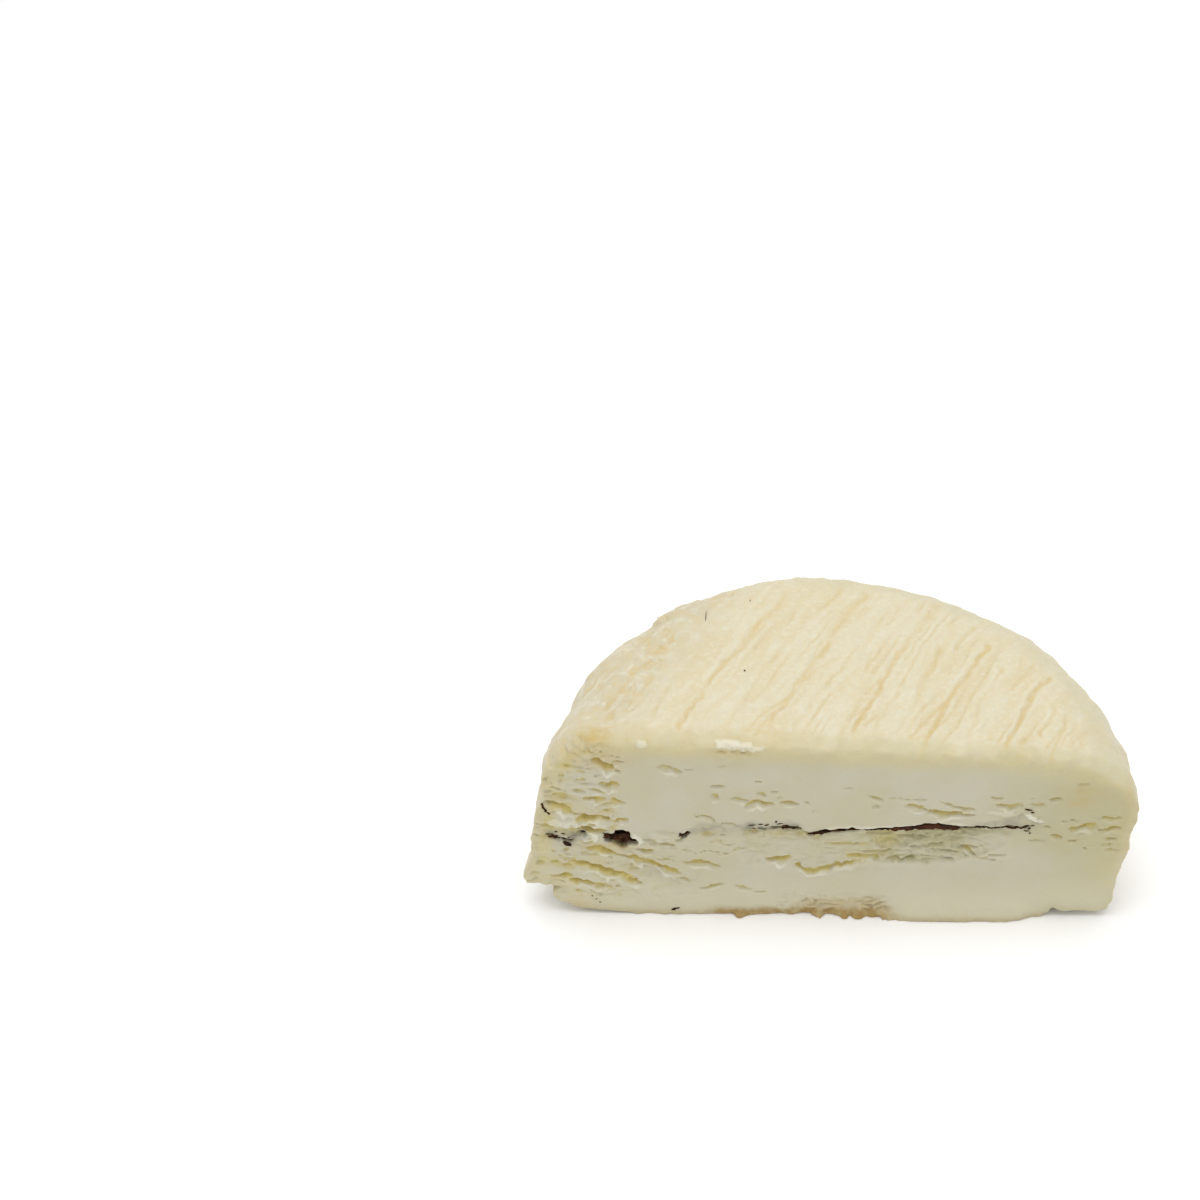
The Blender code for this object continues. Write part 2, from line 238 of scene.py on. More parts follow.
@dataclass
class Outline:
    """The plain form of the half cheese: a rounded disc with uneven corners, and its outline at the cut."""

    radius: float = 37.8
    mid_height: float = 27.75
    top_fall: float = 0.05
    top_dome: float = 0.475
    lean_level: float = 9.5
    stations: tuple[Station, ...] = (
        Station(0.0, 11.4, 8.5, 5.4, 10.8, 0.02, -1.2),
        Station(45.0, 9.5, 7.6, 5.7, 11.4, 0.0, -0.75),
        Station(90.0, 6.6, 6.6, 4.8, 9.5, 0.0, 0.1),
        Station(135.0, 7.6, 7.2, 4.8, 6.6, -0.04, 0.4),
        Station(158.0, 7.6, 8.0, 6.8, 6.8, -0.07, -0.8),
        Station(180.0, 6.6, 8.5, 8.8, 7.0, -0.1, 0.5),
    )
    rim: Path = (
        (0.0, 0.2), (5.5, 0.0), (11.0, 0.1), (17.0, -0.2), (34.0, -0.3), (40.0, 0.4), (46.0, 0.5),
        (60.0, 0.0), (81.0, -0.6), (90.0, -0.2), (99.0, 0.45), (108.0, 0.45), (120.0, 0.0), (130.5, 0.1),
        (132.5, -1.1), (139.0, -1.1), (145.0, -0.1), (153.0, 0.65), (158.0, 0.3), (163.0, -0.45),
        (170.0, -0.4), (176.0, -0.1), (180.0, 0.0),
    )
    left_end: Path = (
        (-28.0, 0.5), (-31.0, 0.6), (-32.8, 1.1), (-34.1, 1.9), (-35.5, 2.5), (-35.7, 3.3), (-34.4, 4.2),
        (-36.0, 4.4), (-37.6, 5.0), (-38.9, 5.1), (-39.3, 6.1), (-39.0, 7.6), (-38.4, 8.5), (-38.0, 9.5),
        (-37.9, 11.0), (-37.8, 12.7), (-37.4, 14.4), (-37.1, 16.1), (-36.6, 17.8), (-35.7, 19.2),
        (-35.8, 20.6), (-35.8, 22.8), (-35.1, 24.5), (-34.3, 26.0), (-33.0, 27.3), (-31.0, 28.4),
    )
    right_end: Path = (
        (29.0, 26.0), (31.5, 25.3), (34.0, 24.0), (36.0, 22.3), (37.2, 20.3), (37.7, 18.0), (37.7, 16.2),
        (37.2, 14.8), (36.9, 13.1), (37.0, 11.5), (36.5, 9.8), (36.0, 8.1), (35.7, 6.3), (35.4, 4.6),
        (35.4, 2.9), (35.1, 2.0), (34.8, 1.2), (34.2, 0.9), (32.5, 0.9), (29.0, 0.9), (28.0, 1.5),
        (27.4, 0.4), (26.0, 0.0),
    )
    base_start: Span = (-24.0, 0.0)
    top_points: int = 16
    past_ends: float = 2.0

    def corner(self, angle: Array, name: str) -> Array:
        """One of the stations' values, blended round the cheese.

        Args:
            angle: Directions in degrees, 0 at the right end of the cut.
            name: Name of the station's field.

        Returns:
            The value in each direction.
        """
        angle = np.clip(angle, 0.0, 180.0)
        total = np.full_like(angle, getattr(self.stations[0], name))
        for low, high in zip(self.stations, self.stations[1:]):
            rise = getattr(high, name) - getattr(low, name)
            total = total + rise * smooth(low.angle, high.angle, angle)
        return total

    def top(self, x: Array, y: Array) -> Array:
        """Height of the plain top."""
        x = x - CENTRE_X
        y = y - CENTRE_Y
        return self.mid_height - self.top_fall * x - self.top_dome * (x * x + y * y) / self.radius**2

    def section(self, x: Array, z: Array) -> Array:
        """Distance to the outline of the cut, negative inside.

        Args:
            x: Coordinates along the cut.
            z: Heights.

        Returns:
            The distance in millimetres.
        """
        left, right = self.left_end[-1][0] + self.past_ends, self.right_end[0][0] - self.past_ends
        across = np.linspace(left, right, self.top_points)
        top = list(zip(across.tolist(), self.top(across, CUT_Y).tolist()))
        return polygon_distance(x, z, [*self.left_end, *top, *self.right_end, self.base_start])

    @staticmethod
    def corner_distance(out: Array, up: Array, inset: Array, drop: Array) -> Array:
        """Distance to a corner rounded as a quarter of an ellipse.

        Args:
            out: How far a point lies outside of the side's plane.
            up: How far it lies past the flat face.
            inset: The ellipse's half width.
            drop: The ellipse's half height.

        Returns:
            The distance, negative inside.
        """
        u = np.maximum(out + inset, 0.0) / inset
        w = np.maximum(up + drop, 0.0) / drop
        q = np.sqrt(u * u + w * w)
        slope = np.sqrt((u / inset) ** 2 + (w / drop) ** 2)
        rounded = (q - 1.0) * q / np.maximum(slope, 1e-6)
        return np.where((u > 0.0) & (w > 0.0), rounded, np.maximum(out, up))


@dataclass(frozen=True)
class Groove:
    """A crease of the rind from above: its path from the back to the cut as (y, x), and its strength."""

    path: Path
    strength: float = 1.0


@dataclass
class RindRelief:
    """Grooves, wrinkles and torn edges of the rind."""

    lean: float = math.radians(25.0)
    depth: float = 0.28
    half: float = 0.38
    minor_pitch: float = 1.35
    minor_height: float = 0.62
    wrinkle_height: float = 0.22
    streak_height: float = 0.13
    crumb_height: float = 0.34
    swell_height: float = 0.18
    swell_length: float = 9.0
    calm_front: Span = (1.0, 3.2)
    calm_radius: Span = (29.5, 33.0)
    wrinkled_span: Span = (-27.0, -18.0)
    flake: Span = (14.2, 2.4)
    flake_height: float = 0.4
    dent: Span = (-14.6, 12.0)
    dent_depth: float = 0.45
    right_ledge: Span = (14.2, 15.2)
    left_ledge: Span = (17.8, 18.8)
    left_roll: float = 6.3
    noise: SmoothNoise = field(default_factory=lambda: SmoothNoise(11))
    wander: tuple[Ripple, ...] = (Ripple(0.3, 2.2, 1.5, 21.0), Ripple(0.12, 0.9, 0.8, 22.0))
    grain: tuple[Ripple, ...] = (Ripple(0.09, 1.1, 1.5, 6.0), Ripple(0.07, 0.5, 0.6, 6.0))
    lumps: tuple[Ripple, ...] = (Ripple(1.0, 1.7, 1.1, 25.0), Ripple(0.5, 0.7, 0.5, 26.0))
    wall_lumps: tuple[tuple[float, float, float], ...] = (
        (0.34, 5.0, 2.6), (0.22, 2.2, 1.1), (0.08, 0.9, 0.6),
    )
    creases: tuple[Groove, ...] = (
        Groove(((-16.0, -18.6), (-14.0, -17.7), (-12.0, -17.1), (-9.2, -15.7), (-5.9, -14.6), (-3.0, -13.1),
                (-1.3, -11.9), (2.4, -10.2), (5.5, -9.0), (7.9, -7.5), (11.6, -6.0)), 0.9),
        Groove(((-15.0, -7.3), (-13.1, -6.6), (-11.4, -5.4), (-9.8, -4.7), (-7.4, -4.0), (-4.9, -3.0),
                (-2.4, -1.7), (0.6, -0.5), (4.0, 0.6), (8.5, 2.6), (11.5, 4.4)), 0.9),
        Groove(((-7.0, -3.5), (-4.9, -2.2), (-3.1, -0.5), (-1.0, 1.3)), 0.5),
        Groove(((-11.3, -2.4), (-8.9, -1.4), (-7.2, -0.5)), 0.5),
        Groove(((-15.8, 2.7), (-13.2, 3.9), (-11.0, 5.0), (-8.2, 5.8), (-5.5, 6.9), (-2.6, 8.1), (0.4, 9.3),
                (3.2, 10.3), (5.2, 11.5), (10.5, 14.2)), 0.95),
        Groove(((-15.9, 1.3), (-14.7, 2.1), (-10.7, 3.8), (-8.3, 5.0)), 0.6),
        Groove(((-14.5, 5.7), (-12.7, 6.8), (-10.3, 7.5), (-7.6, 8.7)), 0.75),
        Groove(((-18.3, 11.4), (-16.5, 12.0), (-14.8, 12.9), (-12.6, 13.6), (-9.8, 14.4), (-6.7, 16.0),
                (-3.8, 17.3), (-0.4, 18.6), (1.5, 20.0)), 1.15),
        Groove(((-6.7, 11.3), (-4.2, 12.1), (-2.7, 13.0), (0.1, 14.3), (3.1, 14.9), (7.0, 16.2)), 0.45),
        Groove(((-17.2, 21.3), (-15.0, 22.5), (-12.3, 23.5), (-9.7, 24.5), (-7.2, 25.4), (-4.0, 27.6)), 1.0),
        Groove(((-16.4, 16.8), (-13.7, 17.6), (-9.5, 18.6), (-6.0, 20.3), (-2.7, 21.5)), 0.5),
        Groove(((-14.8, 25.8), (-12.4, 27.0), (-10.2, 27.8)), 0.7),
        Groove(((-18.8, 26.6), (-14.9, 28.2), (-11.8, 29.3)), 0.6),
        Groove(((-18.6, 29.4), (-17.2, 30.0), (-13.7, 31.7)), 0.5),
        Groove(((-15.5, -26.8), (-12.4, -27.3), (-9.2, -26.2), (-5.3, -24.0), (0.6, -20.7)), 0.55),
        Groove(((-17.1, -22.6), (-11.6, -21.1), (-5.9, -18.8), (-1.3, -16.5)), 0.4),
        Groove(((-18.4, -13.2), (-15.2, -12.3), (-11.0, -10.6), (-6.5, -9.0)), 0.3),
        Groove(((-17.9, 7.2), (-14.4, 8.8), (-11.9, 10.2), (-8.0, 11.3)), 0.4),
    )

    def turned(self, x: Array, y: Array) -> tuple[Array, Array]:
        """Coordinates across and along the grooves, both wandering a little.

        Args:
            x: Coordinates along the cut.
            y: Coordinates away from the cut.

        Returns:
            The distance across the grooves and the distance along them.
        """
        cos, sin = math.cos(self.lean), math.sin(self.lean)
        across = x * cos - y * sin
        along = x * sin + y * cos
        across = across + 0.5 * self.noise.at(across / 9.0, along / 6.5, 1.0)
        return across + 0.18 * self.noise.at(across / 3.0, along / 1.6, 2.0), along

    def calm(self, x: Array, y: Array) -> Array:
        """How smooth the top is, from 0 to 1: along the cut, and in the margin at the back and the right."""
        reach = np.hypot(x - CENTRE_X, y - CENTRE_Y) + 0.8 * self.noise.at(x / 4.0, y / 4.0, 13.0)
        ragged = 0.7 * self.noise.at(x / 1.3, 5.0, 14.0) + 0.5 * self.noise.at(x / 3.1, 6.0, 14.0)
        front = 1.0 - smooth(*self.calm_front, y - CUT_Y + ragged)
        rim = smooth(*self.calm_radius, reach) * smooth(-12.0, 4.0, x)
        return np.clip(front + rim, 0.0, 1.0)

    def grooves(self, x: Array, y: Array) -> tuple[Array, Array]:
        """How deep the grooves of the top are, and how high the soft ridges beside them.

        Args:
            x: Coordinates along the cut.
            y: Coordinates away from the cut.

        Returns:
            The depth and the height, each as a share of a full groove's depth, from 0 to about 1.
        """
        wander = self.noise.rippled(x, y, self.wander)
        fade = 1.0 - 0.25 * smooth(-8.0, 8.0, y)
        wide = self.half * (0.8 + 0.6 * smooth(-8.0, 6.0, y))
        total = np.zeros_like(x * y)
        ridge = np.zeros_like(total)
        for number, crease in enumerate(self.creases):
            start, end = crease.path[0][0], crease.path[-1][0]
            distance = np.abs(x - follow(crease.path, y) + wander) * math.cos(self.lean)
            uneven = 0.88 + 0.3 * self.noise.at(np.full_like(y, 3.7 * number), y / 3.0, 4.0)
            strength = crease.strength * uneven * within(y, start, end, 2.2) * fade
            total = np.maximum(total, strength * bump(distance, 0.0, wide))
            ridge = np.maximum(ridge, strength * bump(distance, 2.3 * wide, 0.9 * wide))
        across, along = self.turned(x, y)
        phase = across / self.minor_pitch + 0.9 * self.noise.at(across / 4.0, along / 9.0, 9.0)
        line = (0.5 + 0.5 * np.cos(math.tau * phase)) ** 3
        gaps = smooth(-0.4, 0.4, self.noise.at(across / 1.3, along / 5.0, 10.0))
        minor = self.minor_height * line * gaps * (0.3 + 0.7 * smooth(-16.0, -6.0, x))
        minor = minor * (1.0 - self.calm(x, y))
        return np.maximum(total, minor), ridge

    def streaks(self, x: Array, y: Array) -> Array:
        """Fine ridges that run along the grooves, from -1 to 1."""
        across, along = self.turned(x, y)
        fine = self.noise.at(across / 0.75, along / 5.0, 3.0)
        broad = self.noise.at(across / 1.9, along / 9.0, 15.0)
        uneven = (0.55 * broad + 0.45 * fine) * (1.0 - self.calm(x, y))
        return uneven * (1.0 - 0.5 * smooth(4.0, 14.0, along))

    def wrinkled(self, x: Array, y: Array) -> Array:
        """Where the left of the top is wrinkled, from 0 to 1."""
        return 1.0 - smooth(*self.wrinkled_span, x - 0.45 * y - 5.0)

    def wrinkles(self, x: Array, y: Array) -> Array:
        """The net of creases at the left of the top, from 0 to 1."""
        across, along = self.turned(x, y)
        crease = np.abs(self.noise.at(across / 0.95, along / 1.7, 8.0))
        broad = smooth(-0.5, 0.4, self.noise.at(across / 2.6, along / 4.5, 18.0))
        return self.wrinkled(x, y) * broad * (1.0 - smooth(0.0, 0.45, crease))

    def crumbs(self, x: Array, y: Array) -> Array:
        """Small lumps along the front edge of the top, from 0 to 1."""
        near = within(y - CUT_Y, 0.6, 2.6, 0.9)
        return near * smooth(-0.1, 0.5, self.noise.rippled(x, y, self.lumps))

    def top(self, x: Array, y: Array) -> Array:
        """Height of the rind's relief above the plain top.

        Args:
            x: Coordinates along the cut.
            y: Coordinates away from the cut.

        Returns:
            The height in millimetres.
        """
        edge = smooth(0.4, 3.0, y - CUT_Y)
        groove, ridge = self.grooves(x, y)
        relief = (self.depth * (0.25 * ridge - groove) - self.wrinkle_height * self.wrinkles(x, y)) * edge
        relief = self.noise.rippled(x, y, self.grain, relief + self.streak_height * self.streaks(x, y))
        relief = relief + self.crumb_height * self.crumbs(x, y)
        swell = self.noise.layered(x / self.swell_length, y / self.swell_length, 7.0)
        relief = relief + self.swell_height * swell
        flake_x, flake_behind = self.flake
        flake = smooth(1.9, 1.2, np.hypot((x - flake_x) / 1.25, y - CUT_Y - flake_behind))
        dent_x, dent_y = self.dent
        dent = self.dent_depth * bump(x, dent_x, 2.6) * bump(y, dent_y, 1.2)
        return relief + self.flake_height * flake - dent

    def wall(self, angle: Array, x: Array, y: Array, z: Array) -> Array:
        """How far the crumbly side stands out or in.

        Args:
            angle: Directions in degrees.
            x: Coordinates along the cut.
            y: Coordinates away from the cut.
            z: Heights.

        Returns:
            The relief in millimetres.
        """
        relief = 0.0
        for height, across, high in self.wall_lumps:
            relief = relief + height * self.noise.at(x / across, y / across, z / high)
        right = 1.0 - smooth(10.0, 60.0, angle)
        left = smooth(140.0, 172.0, angle)
        relief = relief - 0.4 * right * (1.0 - smooth(*self.right_ledge, z))
        relief = relief + 0.16 * left * self.noise.at(x / 1.1, y / 1.6, z / 1.0)
        relief = relief + 0.35 * left * (1.0 - smooth(*self.left_ledge, z))
        return relief + 0.5 * left * bump(z, self.left_roll, 0.9)


@dataclass(frozen=True)
class Fissure:
    """A slit in the cut face: its middle, size, depth and slope, in millimetres."""

    x: float
    z: float
    length: float
    height: float
    depth: float
    slope: float = 0.0


@dataclass(frozen=True)
class Patch:
    """A torn bit that stands on the surface: its middle, half sizes and thickness, and how white it is."""

    x: float
    z: float
    half_x: float
    half_z: float
    thickness: float
    white: float = 0.0
    slope: float = 0.0
    behind: float = 0.2
    half_y: float = 1.2


@dataclass
class Seam:
    """The line that the layer of leaf follows across the cut, left to right, and how far it opens."""

    right: Path = (
        (-18.6, 13.6), (-16.4, 14.4), (-9.4, 14.6), (-5.0, 14.9), (-2.3, 13.8), (-0.4, 14.2), (2.4, 14.6),
        (5.0, 14.6), (8.2, 14.9), (11.7, 15.4), (17.0, 15.1), (20.4, 15.0), (24.4, 15.4),
    )
    left: Path = (
        (-35.2, 13.3), (-34.0, 12.9), (-32.6, 12.7), (-31.2, 13.5), (-28.4, 13.4), (-26.3, 13.0),
        (-24.4, 12.8),
    )
    half_open: Path = (
        (-36.0, 0.0), (-35.3, 0.1), (-34.8, 0.1), (-34.6, 0.0), (-33.8, 0.0), (-33.5, 0.4), (-32.7, 0.36),
        (-32.4, 0.0), (-28.4, 0.0), (-24.2, 0.0), (-19.0, 0.0), (-18.7, 0.5), (-18.2, 0.4), (-17.8, 0.0),
        (-9.6, 0.0), (-9.3, 0.06), (-7.8, 0.05), (-7.4, 0.0), (-6.6, 0.12), (-4.8, 0.2), (-4.3, 0.0),
        (-2.8, 0.0), (-2.4, 0.07), (-0.8, 0.12), (0.8, 0.18), (3.0, 0.13), (3.6, 0.05), (4.0, 0.0),
        (4.5, 0.17), (7.2, 0.13), (7.9, 0.36), (10.2, 0.4), (10.8, 0.28), (11.6, 0.46), (14.4, 0.5),
        (15.4, 0.3), (16.2, 0.1), (17.2, 0.04), (23.6, 0.05), (24.2, 0.2), (24.8, 0.0),
    )

    def both(self, x: Array) -> Array:
        """Height of the seam anywhere along the cut."""
        return follow(self.left + self.right, x)


@dataclass
class CutRelief:
    """Shape of the cut face, as its depth behind the plane of the cut."""

    skin: float = 0.08
    slot_depth: float = 2.4
    slit_height: float = 1.2
    slit_depth: float = 0.68
    slit_profile: Path = ((-0.22, 0.0), (0.1, 1.0), (0.34, 0.66), (0.62, 0.24), (1.0, 0.0))
    lip_height: float = 0.15
    most_forward: float = 1.15
    torn_lip_span: Span = (-4.0, 4.2)
    white_line_span: Span = (0.0, 16.0)
    white_line_above: float = 0.62
    band_span: Span = (-10.0, 21.5)
    hollow_span: Span = (-28.3, -24.3)
    foot_span: Span = (-6.0, 6.0)
    scoop: Span = (-22.0, 6.4)
    scoop_slope: float = -0.45
    scoop_depth: float = 0.9
    belly_span: Span = (11.0, 22.0)
    belly: float = 1.15
    toe_span: Span = (2.0, 6.0)
    toe: float = 0.5
    right_curd_level: float = 14.5
    seam: Seam = field(default_factory=Seam)
    noise: SmoothNoise = field(default_factory=lambda: SmoothNoise(23))
    plain: tuple[Ripple, ...] = (
        Ripple(0.1, 10.0, 5.0, 1.0), Ripple(0.05, 3.6, 1.1, 2.0), Ripple(0.02, 1.1, 0.4, 3.0),
    )
    warp_along: tuple[Ripple, ...] = (Ripple(0.4, 1.6, 0.9, 1.5), Ripple(0.28, 0.6, 0.5, 2.5))
    warp_up: tuple[Ripple, ...] = (Ripple(0.3, 1.3, 0.8, 3.5), Ripple(0.25, 0.55, 0.5, 4.5))
    torn_curds: tuple[Ripple, ...] = (Ripple(0.26, 2.6, 1.3, 6.0), Ripple(0.12, 1.1, 0.7, 9.0))
    band_curds: tuple[Ripple, ...] = (Ripple(0.6, 2.2, 0.7, 33.0), Ripple(0.45, 0.9, 0.35, 34.0))
    right_curds: tuple[Ripple, ...] = (Ripple(1.0, 1.6, 0.55, 51.0),)
    foot_curds: tuple[Ripple, ...] = (Ripple(0.25, 0.9, 0.5, 63.0),)
    band_lip: Path = (
        (-10.4, 9.0), (-7.0, 8.7), (-5.4, 8.8), (-4.2, 8.3), (-3.0, 7.6), (-1.9, 7.75), (-0.9, 7.6),
        (0.8, 8.3), (3.1, 8.8), (4.6, 9.6), (6.5, 9.3), (10.0, 9.2), (15.0, 9.4), (17.2, 10.2),
        (19.2, 10.8), (22.5, 13.0), (24.5, 14.6),
    )
    hollow_roof: Path = (
        (-28.6, 12.7), (-27.6, 13.5), (-27.0, 14.1), (-26.2, 14.4), (-25.5, 14.0), (-24.0, 12.6),
    )
    hollow_floor: Path = ((-28.6, 12.3), (-27.4, 12.0), (-26.3, 11.4), (-25.4, 11.9), (-24.0, 12.2))
    fissures: tuple[Fissure, ...] = tuple(Fissure(*row) for row in (
        # left, above the leaf
        (-27.3, 24.9, 3.6, 1.5, 1.7, -0.6), (-25.9, 25.7, 1.4, 0.7, 0.8, 0.2),
        (-30.8, 24.0, 1.6, 0.5, 0.5), (-30.8, 22.7, 1.4, 0.6, 0.8, -0.1), (-27.3, 21.8, 2.7, 1.1, 1.2),
        (-31.2, 20.8, 1.9, 0.6, 0.7, -0.2), (-28.9, 20.7, 2.4, 0.9, 0.9, -0.5),
        (-29.3, 19.4, 2.8, 0.9, 1.1), (-26.4, 18.9, 2.4, 0.8, 0.9, -0.1),
        (-33.9, 17.9, 3.4, 1.2, 1.3, -0.45), (-29.7, 16.1, 4.4, 1.0, 1.3, -0.05),
        (-26.2, 15.9, 2.2, 0.8, 1.0, 0.1), (-32.2, 17.1, 2.4, 0.6, 0.7, -0.2),
        (-30.3, 14.35, 4.4, 0.6, 1.5, -0.06), (-19.8, 24.7, 3.5, 0.9, 0.9, -0.2),
        (-17.5, 24.7, 1.0, 0.4, 0.5), (-28.9, 27.0, 3.0, 0.4, 0.5), (-26.2, 26.8, 1.6, 0.4, 0.5),
        (-13.2, 27.4, 1.3, 0.4, 0.6, -0.1), (-11.7, 27.2, 1.5, 0.45, 0.7, -0.15),
        (-10.2, 27.0, 1.3, 0.35, 0.5),
        # middle, above the leaf
        (-13.9, 21.9, 1.9, 0.6, 0.8, -0.15), (-14.1, 19.9, 1.6, 0.7, 0.8, -0.45),
        (-13.4, 25.0, 1.0, 0.3, 0.4), (-11.0, 19.6, 2.4, 0.7, 0.8, -0.25),
        (-8.7, 18.8, 4.0, 1.0, 1.2, 0.05), (-15.4, 16.6, 3.0, 0.5, 0.8, -0.4),
        (-12.4, 15.5, 3.4, 0.4, 0.7, -0.18), (-8.8, 22.5, 1.3, 0.5, 0.7),
        (-8.3, 20.5, 1.4, 0.5, 0.7, -0.05), (-6.6, 20.9, 1.9, 0.45, 0.6, -0.15),
        (-5.1, 19.1, 2.4, 0.8, 1.0, 0.05), (-6.0, 20.0, 1.0, 0.4, 0.5),
        (-2.8, 19.2, 1.1, 0.45, 0.6, -0.6), (-1.9, 17.8, 1.0, 0.4, 0.5, -0.5),
        (2.4, 21.6, 1.2, 0.4, 0.5, -0.1), (5.8, 20.0, 2.0, 0.6, 0.8, -0.25),
        (9.8, 19.8, 6.6, 0.3, 0.5, 0.01), (5.9, 18.6, 1.1, 0.45, 0.6),
        # right, above the leaf
        (10.9, 18.4, 3.4, 0.8, 1.0, -0.25), (14.7, 17.3, 6.2, 1.0, 1.5, -0.12),
        (14.5, 19.1, 1.6, 0.6, 0.9, -0.5), (16.2, 18.3, 3.0, 0.7, 1.0, -0.2), (20.4, 20.0, 1.6, 0.5, 0.8),
        (21.8, 18.8, 3.6, 0.8, 1.1, -0.08), (25.6, 18.7, 2.4, 0.45, 0.7, -0.1),
        (24.6, 19.8, 1.4, 0.3, 0.4), (27.4, 19.9, 1.9, 0.6, 0.9), (30.7, 22.2, 1.6, 0.4, 0.5, 0.1),
        (29.4, 16.3, 2.8, 0.4, 0.6, 0.1), (31.1, 15.1, 3.6, 0.8, 1.2, 0.2),
        (34.1, 15.0, 3.0, 0.7, 1.2, 0.1), (34.4, 16.7, 3.2, 0.5, 0.8, 0.1), (34.8, 13.3, 2.2, 0.45, 0.8),
        (35.0, 11.6, 2.0, 0.4, 0.6), (34.3, 12.4, 1.8, 0.35, 0.5), (27.0, 15.3, 1.4, 0.45, 0.8),
        (27.7, 13.8, 1.6, 0.6, 1.0, -0.4), (29.8, 13.1, 1.6, 0.6, 1.0, -0.1), (31.2, 11.6, 1.0, 0.4, 0.5),
        (25.5, 13.1, 2.6, 0.3, 0.5, 0.1),
        # left, below the leaf
        (-28.6, 10.4, 4.4, 1.0, 1.3, -0.35), (-34.1, 9.8, 1.3, 0.5, 0.7, -0.1),
        (-23.2, 10.9, 2.2, 0.6, 1.1, -0.2), (-20.6, 12.0, 2.3, 0.6, 0.9, -0.2),
        (-24.5, 9.0, 5.0, 1.3, 1.9, -0.3), (-21.2, 7.5, 4.6, 1.4, 2.2, -0.36),
        (-20.9, 9.3, 3.2, 0.45, 0.8, -0.05), (-16.2, 8.7, 5.2, 0.9, 1.2, -0.1),
        (-29.0, 7.2, 8.4, 1.1, 1.9, -0.3), (-24.9, 5.4, 2.2, 0.9, 1.3, -0.6),
        (-34.2, 6.3, 2.8, 0.5, 0.9, -0.15), (-31.2, 5.1, 4.8, 0.9, 1.7, -0.22),
        (-28.5, 4.3, 1.4, 0.6, 0.9, -0.2), (-18.6, 5.5, 2.6, 0.6, 1.0, -0.2),
        (-15.0, 4.9, 3.4, 0.7, 1.0, 0.32), (-11.2, 4.6, 2.4, 0.5, 0.8, -0.3),
        (-9.0, 4.0, 2.8, 0.4, 0.6, 0.2), (-13.6, 12.3, 3.8, 0.4, 0.6, -0.15),
        (-15.5, 10.9, 4.0, 0.4, 0.6, 0.05), (-12.4, 10.9, 4.2, 0.45, 0.7, 0.25),
        (-18.0, 11.0, 1.5, 0.4, 0.6),
        # right, below the leaf
        (-6.6, 9.6, 3.8, 1.0, 1.5, 0.05), (-1.2, 7.8, 3.2, 0.7, 1.3, 0.35),
        (1.6, 8.5, 3.4, 0.7, 1.2, 0.1), (3.9, 9.9, 4.0, 0.8, 1.1, -0.15),
        (1.9, 12.0, 6.2, 0.45, 0.7, -0.12), (17.1, 11.1, 1.9, 0.8, 1.5, -0.5),
        (20.4, 10.5, 3.4, 0.4, 0.7, 0.1), (19.6, 9.9, 3.8, 0.35, 0.7, -0.2),
        (17.8, 11.7, 3.6, 0.4, 0.7, 0.2),
    ))

    def warped(self, x: Array, z: Array) -> tuple[Array, Array]:
        """Coordinates shifted by small noise, so that every edge of the torn curd is ragged.

        Args:
            x: Coordinates along the cut.
            z: Heights.

        Returns:
            The shifted coordinates.
        """
        return x + self.noise.rippled(x, z, self.warp_along), z + self.noise.rippled(x, z, self.warp_up)

    def slit(self, crack: Fissure, x: Array, z: Array) -> tuple[Array, Array]:
        """One fissure: deep under its ragged upper edge, then ramped up to its lower lip.

        Args:
            crack: The fissure.
            x: Coordinates along the cut.
            z: Heights.

        Returns:
            Its depth, and the height of the lip below it.
        """
        s = (x - crack.x) / (0.5 * crack.length)
        wide = np.clip(1.0 - np.abs(s) ** 1.7, 0.0, 1.0)
        uneven = 0.88 + 0.36 * self.noise.at(x / 0.9, crack.z, 82.0)
        high = self.slit_height * crack.height * wide**0.45 * uneven + 1e-3
        upper = crack.z + crack.slope * (x - crack.x) + 0.55 * crack.height * (0.4 + 0.6 * wide)
        upper = upper + 0.17 * crack.height * self.noise.at(x / 0.5, crack.z, 81.0)
        down = (upper - z) / high
        inside = (np.abs(s) < 1.0).astype(np.float32)
        profile = follow(self.slit_profile, down)
        lip = inside * wide * bump(down, 1.2, 0.3) + 0.3 * inside * wide * bump(down, -0.3, 0.2)
        return self.slit_depth * crack.depth * inside * wide**0.5 * profile, lip * min(1.0, crack.height)

    def slits(self, x: Array, z: Array) -> tuple[Array, Array]:
        """All fissures together.

        Args:
            x: Coordinates along the cut.
            z: Heights.

        Returns:
            Their depth, and the share of a full lip beside them.
        """
        carved = np.zeros(np.broadcast(x, z).shape, np.float32)
        lips = np.zeros_like(carved)
        for crack in self.fissures:
            deep, lip = self.slit(crack, x, z)
            carved = np.maximum(carved, deep)
            lips = np.maximum(lips, lip)
        ragged = 0.4 * self.noise.at(x / 0.8, 4.0, 27.0) + 0.25 * self.noise.at(x / 0.35, 5.0, 27.0)
        step = z - follow(self.band_lip, x) - ragged
        torn = within(x, *self.torn_lip_span, 1.0) * (0.7 + 0.5 * self.noise.at(x / 1.3, 6.0, 27.0))
        carved = np.maximum(carved, 0.62 * torn * bump(step, 0.3, 0.3))
        lips = np.maximum(lips, 0.8 * torn * bump(step, -0.3, 0.22))
        above = z - self.seam.both(x)
        white_line = 0.8 * bump(above, self.white_line_above, 0.26) * within(x, *self.white_line_span, 2.0)
        return carved, np.maximum(lips, white_line)

